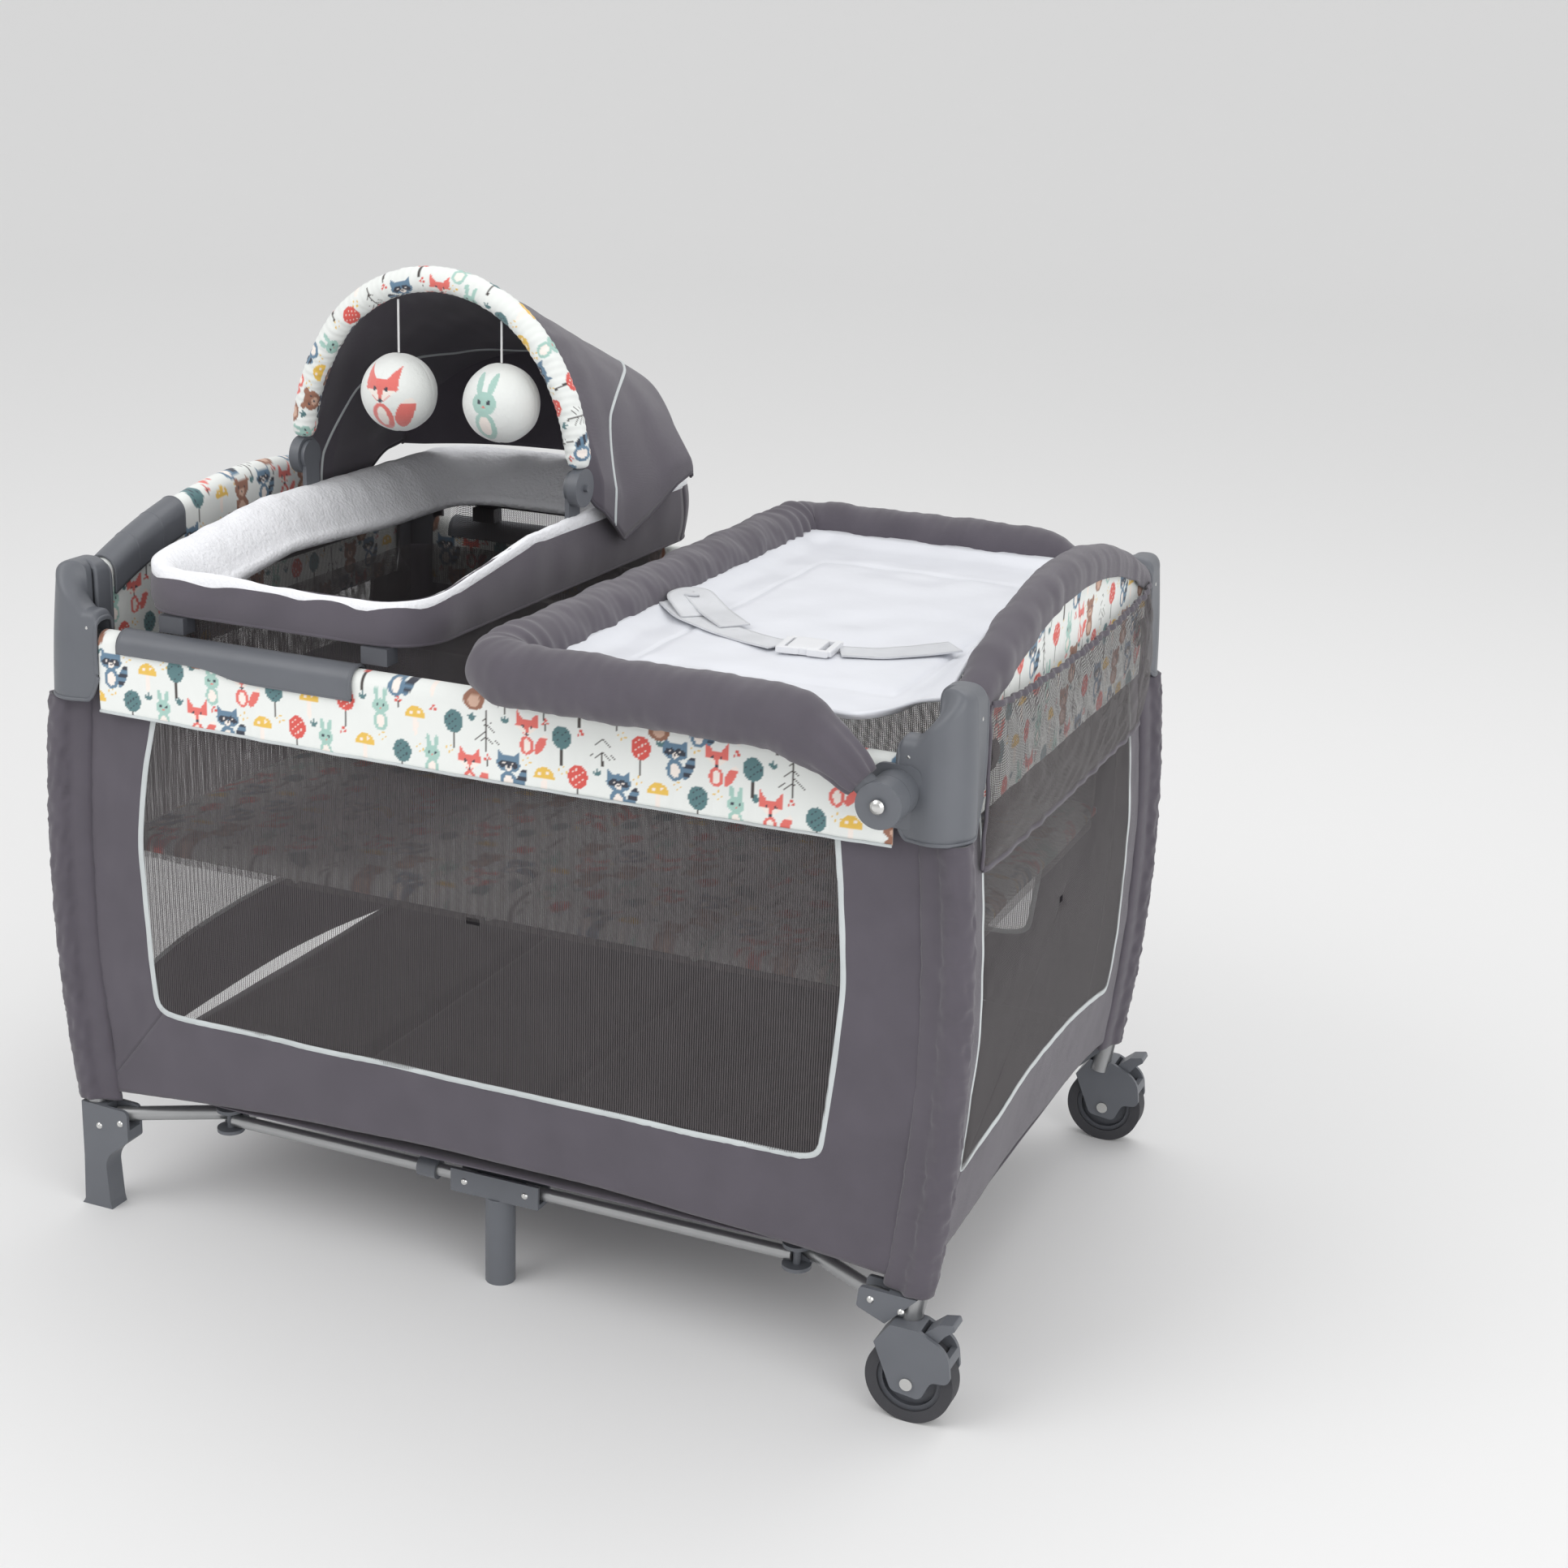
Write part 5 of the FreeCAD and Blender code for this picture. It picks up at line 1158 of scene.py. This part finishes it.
# %% Toys
BOW_X = {"left": -0.287, "right": -0.159}
STRING_TOP = {"left": 0.9810, "right": 0.9679}
FACES = {"left": fox, "right": bunny}
ball_cloth = cloth("toy_cloth", linear(240, 242, 246), sheen=0.8, strength=0.2).painted("face")
ball_cloth.bump(ball_cloth.noise(220, 5), 0.5, 0.0016)
for side, x in BOW_X.items():
    lat = np.linspace(0, math.pi, 110)[:, None]
    lon = np.linspace(0, 2 * math.pi, 190, endpoint=False)[None]
    seam = np.exp(-(np.cos(lon) * np.sin(lat) / 0.035) ** 2)
    radius = 0.0425 * (1 + 0.012 * ripple(lat * 0.2, lon * 0.1, 101, 0.2)) * (1 - 0.012 * seam)
    points = np.stack([x + radius * np.sin(lat) * np.sin(lon), -radius * np.sin(lat) * np.cos(lon) * 0.95,
                       0.880 + radius * np.cos(lat)], -1)
    toy = place_mesh(f"plush_ball_{side}", [points], ball_cloth)
    co = np.empty(len(toy.data.vertices) * 3, np.float32)
    toy.data.vertices.foreach_get("co", co)
    co = co.reshape(-1, 3)
    u, v = (co[:, 0] - x) / 0.036, (co[:, 2] - 0.878) / 0.036
    colours = np.tile(INK["cloth"], (len(co), 1)).astype(np.float32)
    front = co[:, 1] < 0
    for mask, ink in FACES[side](u, v):
        colours[mask & front] = INK[ink]
    layer = toy.data.color_attributes.new("face", "FLOAT_COLOR", "POINT")
    layer.data.foreach_set("color", np.concatenate([colours, np.ones((len(co), 1))], 1).ravel())
    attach(toy, f"toy_{side}")
    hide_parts(f"toy_{side}")
    line = bpy.data.curves.new(f"toy_cord_{side}", "CURVE")
    line.dimensions, line.bevel_depth, line.bevel_resolution, line.use_fill_caps = "3D", 0.0012, 3, True
    spline = line.splines.new("NURBS")
    ends = np.linspace(STRING_TOP[side], 0.9232, 5)
    spline.points.add(4)
    spline.points.foreach_set("co", np.stack([np.full(5, x), np.zeros(5), ends, np.ones(5)], -1).ravel())
    spline.order_u, spline.use_endpoint_u = 3, True
    line.materials.append(cord_fibre.material)
    string = bpy.data.objects.new(f"toy_cord_{side}", line)
    bpy.context.scene.collection.objects.link(string)
    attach(string, f"toy_{side}")
    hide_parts(f"toy_string_{side}")
    length = STRING_TOP[side] - 0.9232
print("toys hung")

# %% [markdown]
# ## Bassinet, floor and mat
# The bassinet hangs inside the rails. Its corners are gray cloth and its sides are mesh, and a
# printed pad lies on its board. Down on the yard's floor lies a quilted mat in four folds.

# %% Bassinet
BASS_X, BASS_Y, BASS_LOW, BASS_TOP = 0.4605, 0.3172, 0.414, 0.634


def bassinet_side(share, z, wave):
    """A point on the bassinet's plan, share of the way round, at a height."""
    turn = share * 2 * math.pi
    power = 0.10
    x = BASS_X * np.sign(np.cos(turn)) * np.abs(np.cos(turn)) ** power
    y = BASS_Y * np.sign(np.sin(turn)) * np.abs(np.sin(turn)) ** power
    return np.stack([x * (1 - wave / BASS_X), y * (1 - wave / BASS_Y), z + 0 * x], -1)


def bassinet_strip(name, start, end, finish, count=160, rows=30):
    share = start + (end - start) * np.linspace(0, 1, count)[None]
    high = np.linspace(BASS_LOW, BASS_TOP, rows)[:, None]
    wave = 0.002 + 0.002 * ripple(share * 2.6, high, 111, 0.12)
    points = bassinet_side(share + 0 * high, high + 0 * share, wave)
    piece = place_mesh(name, [slab(points, 0.0010)], finish)
    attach(piece, "yard")
    sewn_sheet(piece, points)
    return piece


corner_turn = {"front": 0.75, "left": 0.5, "back": 0.25, "right": 0.0}
spans = {"front": 0.105, "back": 0.105, "left": 0.075, "right": 0.075}
first_strip = None
for side, centre in corner_turn.items():
    piece = bassinet_strip(f"bassinet_mesh_{side}", centre - spans[side], centre + spans[side], fine_mesh)
    first_strip = first_strip or piece
for i, (a, b) in enumerate(((0.075, 0.145), (0.355, 0.425), (0.575, 0.645), (0.855, 0.925))):
    bassinet_strip(f"bassinet_corner_{i}", a, b, gray_cloth, 60)
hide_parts("bassinet_sling")
print("bassinet hung")

# %% Pads


def flat_pad(name, half_x, half_y, low, thick, finish, channels, rows=90, cols=130, seed=1):
    """A pad with a crowned top, rounded edges and sewn channels across it at x = channels."""
    u, v = np.meshgrid(np.linspace(-1, 1, cols), np.linspace(-1, 1, rows))
    x, y = u * half_x, v * half_y
    edge = (1 - np.abs(u) ** 14) * (1 - np.abs(v) ** 14)
    tuck = sum(np.exp(-((x - c) / 0.006) ** 2) for c in channels)
    top = low + thick * (0.30 + 0.66 * np.clip(edge, 0, 1) ** 0.35) - 0.55 * thick * tuck
    top = top + 0.0012 * ripple(x, y, seed, 0.12) * edge
    pull = 1 - 0.006 * np.cos(v * math.pi) ** 2 * np.abs(u) ** 6
    upper = np.stack([x * pull, y, top], -1)
    lower = np.stack([x * pull, y, np.full_like(x, low)], -1)
    both = np.concatenate([upper, lower[:, ::-1]], 1)
    rim = np.concatenate([(upper + lower) / 2, ((upper + lower) / 2)[:, ::-1]], 1)
    piece = place_mesh(name, [np.concatenate([rim[:1], both, rim[-1:]])], finish)
    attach(piece, "yard")
    return piece


bass_pad = flat_pad("bassinet_mattress", 0.4555, 0.3125, 0.4202, 0.0195, print_cloth,
                    (-0.228, 0.0, 0.228), 140, 200)
paint(bass_pad, lambda p: (p[:, 0], p[:, 1]), 29, pitch=0.043)
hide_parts("bassinet_pad")
mat = flat_pad("floor_mattress", 0.463, 0.3135, 0.1504, 0.0172, stay_cloth, (-0.231, 0.0, 0.231))
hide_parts("floor_mat")
u, v = np.meshgrid(np.linspace(-1, 1, 80), np.linspace(-1, 1, 60))
floor_points = np.stack([u * 0.482, v * 0.3305 * (1 - 0.07 * np.abs(u) ** 10),
                         0.1489 + 0.0006 * ripple(u, v, 121, 0.3)], -1)
yard_floor = place_mesh("yard_floor_cloth", [slab(floor_points, 0.0014)], gray_cloth)
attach(yard_floor, "yard")
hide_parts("yard_floor")
sewn_sheet(yard_floor, floor_points)
print("pads laid")

# %% [markdown]
# ## Changing table
# The table is a steel frame inside a thick padded roll, and a vinyl tray is sewn along the
# roll's inner side. The roll's ends taper down to hinge discs outside the long rails. The tray
# runs on over the end rail as a tongue.

# %% Padded roll
TABLE_Z, HINGE_X, HINGE_Z, SIDE_Y, TABLE_LEFT = 0.700, 0.440, 0.635, 0.385, 0.038
slope_x = HINGE_X - 0.078
slope = math.atan2(TABLE_Z - HINGE_Z, HINGE_X - slope_x)
lead = np.array([-math.cos(slope), 0, math.sin(slope)])
near = np.array([HINGE_X, -SIDE_Y, HINGE_Z]) + lead * 0.026
half = spread([near, [slope_x, -SIDE_Y, TABLE_Z], [TABLE_LEFT, -SIDE_Y, TABLE_Z],
               [TABLE_LEFT, 0, TABLE_Z]], 260)
whole = softened(spread(np.concatenate([half, (half * [1, -1, 1])[::-1][1:]]), 640), 30)
t = np.linspace(0, 1, 640)
length = np.linalg.norm(np.diff(whole, axis=0), axis=1).sum()
edge = np.minimum(t, 1 - t) * length
swell = 0.0165 + 0.0150 * np.clip(edge / 0.075, 0, 1) ** 0.7
angle = np.linspace(0, 2 * math.pi, 84, endpoint=False)[None]
dist = (t * length)[:, None]
corner = np.exp(-((edge - 0.44) / 0.05) ** 2)[:, None]
folds = (0.0016 * ripple(dist, angle * 0.028, 131, 0.05)
         + 0.0009 * ripple(dist, angle * 0.014, 132, 0.018)
         + 0.0016 * corner * np.sin(dist * 260 + 1.2 * np.sin(angle)))
ends = np.exp(-(edge / 0.045) ** 2)[:, None] * 0.0016 * np.sin(angle * 9 + 1.0)
radius = swell[:, None] + folds * np.clip(edge / 0.03, 0, 1)[:, None] + ends
section = np.stack([radius * np.cos(angle), radius * np.sin(angle) * 0.97], -1)
rim = place_mesh("table_roll", [carried(whole, section, np.array([0, 0, 1.0]))], gray_cloth)
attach(rim, "changer")
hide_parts("changer_rim")
disc_y = max(abs(v[1]) for n in ("changer_arms", "changer_mounts") for v in bpy.data.objects[n].bound_box)
hinge_studs = place_mesh("hinge_rivets", [
    rivet_grid((HINGE_X, s * disc_y, HINGE_Z), (0, s, 0), 0.0070, 0.0026) for s in (-1, 1)], rivet_steel)
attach(hinge_studs, "changer")
print("hinge face at", round(disc_y, 4))
print("table roll is", round(float(length), 3), "m long")

# %% Tray
tray_u, tray_v = np.meshgrid(np.linspace(0, 1, 120), np.linspace(-1, 1, 120))
tray_x = 0.0665 + tray_u * (0.4570 - 0.0665)
half_y = 0.3555 - 0.080 / (1 + np.exp(-(tray_x - 0.415) / 0.006))
tray_y = tray_v * half_y
inside = np.clip((1 - np.abs(tray_v)) / 0.10, 0, 1) * np.clip(tray_u / 0.08, 0, 1)
lift = 0.012 * (1 - inside) ** 2
tongue = np.clip((tray_x - 0.405) / 0.052, 0, 1)
tongue_top = end_z(tray_y) - 0.006 - 0.690
panel_edge = np.maximum(np.abs(tray_x - 0.262) / 0.135, np.abs(tray_y) / 0.245)
stitch = -0.0022 * np.exp(-((panel_edge - 1) / 0.014) ** 2) + 0.0022 * np.clip((1 - panel_edge) / 0.08, 0, 1)
tray_z = (0.6905 + lift * (1 - tongue) + stitch * (1 - tongue)
          + tongue ** 1.5 * np.maximum(tongue_top, 0) + 0.0012 * ripple(tray_x, tray_y, 141, 0.08) * inside)
tray_points = np.stack([tray_x, tray_y, tray_z], -1)
tray = place_mesh("vinyl_tray", [slab(tray_points, 0.0035)], vinyl)
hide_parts("changer_tray")
print("tray sewn")

# %% Strap and buckle


def ribbon(points, width, thickness, across, count=120):
    """A flat strap along points, its width lying along across."""
    line = softened(spread(points, count), 12)
    section = np.stack([np.array([-0.5, 0.5, 0.5, -0.5]) * width,
                        np.array([-0.5, -0.5, 0.5, 0.5]) * thickness], -1)
    section = np.concatenate([np.linspace(section[i], section[(i + 1) % 4], 8,
                                          endpoint=False) for i in range(4)])
    return carried(line, section, across)


# One end is sewn under the roll on the left, and a folded loop of spare webbing lies beside it.
strap_a = ribbon([[0.080, -0.060, 0.7035], [0.110, -0.085, 0.6975], [0.165, -0.118, 0.6965],
                  [0.205, -0.136, 0.6965],
                  [0.240, -0.150, 0.6980]], 0.036, 0.0015, np.array([0, 0, 1.0]))
strap_b = ribbon([[0.300, -0.142, 0.6980], [0.335, -0.125, 0.6965], [0.368, -0.095, 0.6970],
                  [0.395, -0.070, 0.6990]],
                 0.036, 0.0015, np.array([0, 0, 1.0]))
strap_c = ribbon([[0.120, -0.090, 0.6990], [0.085, -0.055, 0.7100], [0.092, -0.035, 0.7120],
                  [0.130, -0.070, 0.7020],
                  [0.170, -0.105, 0.6985]], 0.034, 0.0014, np.array([0, 0, 1.0]))
strap = place_mesh("table_strap", [strap_a, strap_b, strap_c], webbing)
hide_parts("changer_strap")


def soft_box(centre, half, turn_z, power=0.25, rows=30, cols=60):
    """A block with rounded edges: a sphere's grid pushed out towards a box."""
    lat = np.linspace(0, math.pi, rows)[:, None]
    lon = np.linspace(0, 2 * math.pi, cols, endpoint=False)[None]
    unit_box = [np.sign(w) * np.abs(w) ** power for w in (
        np.sin(lat) * np.cos(lon), np.sin(lat) * np.sin(lon), np.cos(lat) + 0 * lon)]
    x, y, z = (w * h for w, h in zip(unit_box, half))
    c, s = math.cos(turn_z), math.sin(turn_z)
    return np.stack([centre[0] + x * c - y * s, centre[1] + x * s + y * c, centre[2] + z], -1)


lean = math.radians(6)
centre = np.array([0.268, -0.148, 0.7000])
frame_parts = [soft_box(centre, (0.017, 0.0215, 0.0042), lean),
               soft_box(centre + [-0.023, -0.003, 0], (0.0035, 0.0215, 0.0034), lean),
               soft_box(centre + [-0.014, 0.0195, 0], (0.012, 0.0028, 0.0034), lean),
               soft_box(centre + [-0.013, -0.0215, 0], (0.012, 0.0028, 0.0034), lean),
               soft_box(centre + [0.026, 0.003, 0], (0.0035, 0.0215, 0.0034), lean),
               soft_box(centre + [0.017, 0.0220, 0], (0.011, 0.0028, 0.0034), lean),
               soft_box(centre + [0.018, -0.0195, 0], (0.011, 0.0028, 0.0034), lean)]
buckle = place_mesh("strap_buckle", frame_parts, white_plastic)
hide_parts("changer_buckle")
for item in (tray, strap, buckle):
    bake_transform(item)
print("strap buckled")

# %% [markdown]
# ## End roll and organizer
# A padded cover sits over the right end rail, with white piping along its inner edge. Outside
# it hangs a mesh organizer, gathered by an elastic band at the top so that its mesh bellies out.

# %% End roll
roll_ys = np.linspace(-0.2850, 0.2850, 300)
turn = np.linspace(0, math.pi, 26)
fall = np.linspace(0, 1, 9)[1:]
roll_out = np.concatenate([np.full(8, 1.0), np.cos(turn), np.full(8, -1.0)])
roll_up = np.concatenate([-fall[::-1] * 0.013, np.sin(turn) * 0.0190, -fall * 0.010])
puff = 0.0165 + 0.0025 * np.sin(
    np.clip((0.285 - np.abs(roll_ys)) / 0.285, 0, 1) ** 0.4 * math.pi / 2)[:, None]
wrinkle = 0.0015 * ripple(roll_ys[:, None], roll_out[None] * 0.03, 151, 0.05) + 0.0006 * ripple(
    roll_ys[:, None], roll_out[None] * 0.008, 152, 0.016)
roll_points = np.stack([END_X + roll_out[None] * (puff + wrinkle), roll_ys[:, None] + 0 * roll_out[None],
                        end_z(roll_ys)[:, None] + roll_up[None] + 0.5 * wrinkle], -1)
end_roll = place_mesh("end_rail_roll", [slab(roll_points, 0.0022)], gray_cloth)
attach(end_roll, "yard")
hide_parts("end_roll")
piping("end_roll_piping", roll_points[:, -1] + [-0.0006, 0, 0.0], 0.0022, piping_cloth, "yard")
print("end roll sewn")

# %% Organizer
pocket_ys = np.linspace(-0.2745, 0.2745, 260)
rise = np.linspace(0, 1, 48)
gather = np.exp(-((1 - rise) / 0.22) ** 2)[None]
belly = (0.0225 * np.sin(np.clip(rise, 0, 1) * math.pi * 0.82 + 0.25)[None]
         * (1 - (pocket_ys[:, None] / 0.2745) ** 8) ** 0.5)
pleats = gather * 0.0016 * np.sin(pocket_ys[:, None] * 330
                                  + 2.2 * np.sin(pocket_ys[:, None] * 35)) + 0.0014 * ripple(
    pocket_ys[:, None], rise[None] * 0.15, 161, 0.03)
top_edge = 0.706
droop = 0.018 * (1 - (pocket_ys[:, None] / 0.2745) ** 2)
pocket_points = np.stack([0.5015 + belly + pleats + 0 * pocket_ys[:, None],
                          pocket_ys[:, None] + 0 * rise[None],
                          0.547 + (top_edge - 0.547 - droop * 0.6) * rise[None]], -1)
pocket_points[..., 0] = np.clip(pocket_points[..., 0], 0.4985, 0.5280)
pocket = place_mesh("organizer_mesh", [slab(pocket_points, 0.0008)], fine_mesh)
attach(pocket, "yard")
sewn_sheet(pocket, pocket_points)
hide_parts("organizer_pocket")
for edge_name, line in (("top", pocket_points[:, -1]), ("low", pocket_points[:, 0]),
                        ("front", pocket_points[0]), ("back", pocket_points[-1])):
    piping(f"organizer_binding_{edge_name}", spread(line, 260), 0.0032, gray_cloth, "yard",
           top=(1, 0, 0.2), squash=0.6)
loops = [ribbon([[0.4995, y, 0.640], [0.5035, y, 0.652], [0.5030, y, 0.662], [0.4985, y, 0.668]],
                0.022, 0.0014,
                np.array([1.0, 0, 0]), 60) for y in (-0.262, 0.262)]
straps = place_mesh("organizer_straps", loops, black_webbing)
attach(straps, "yard")
print("organizer sewn")
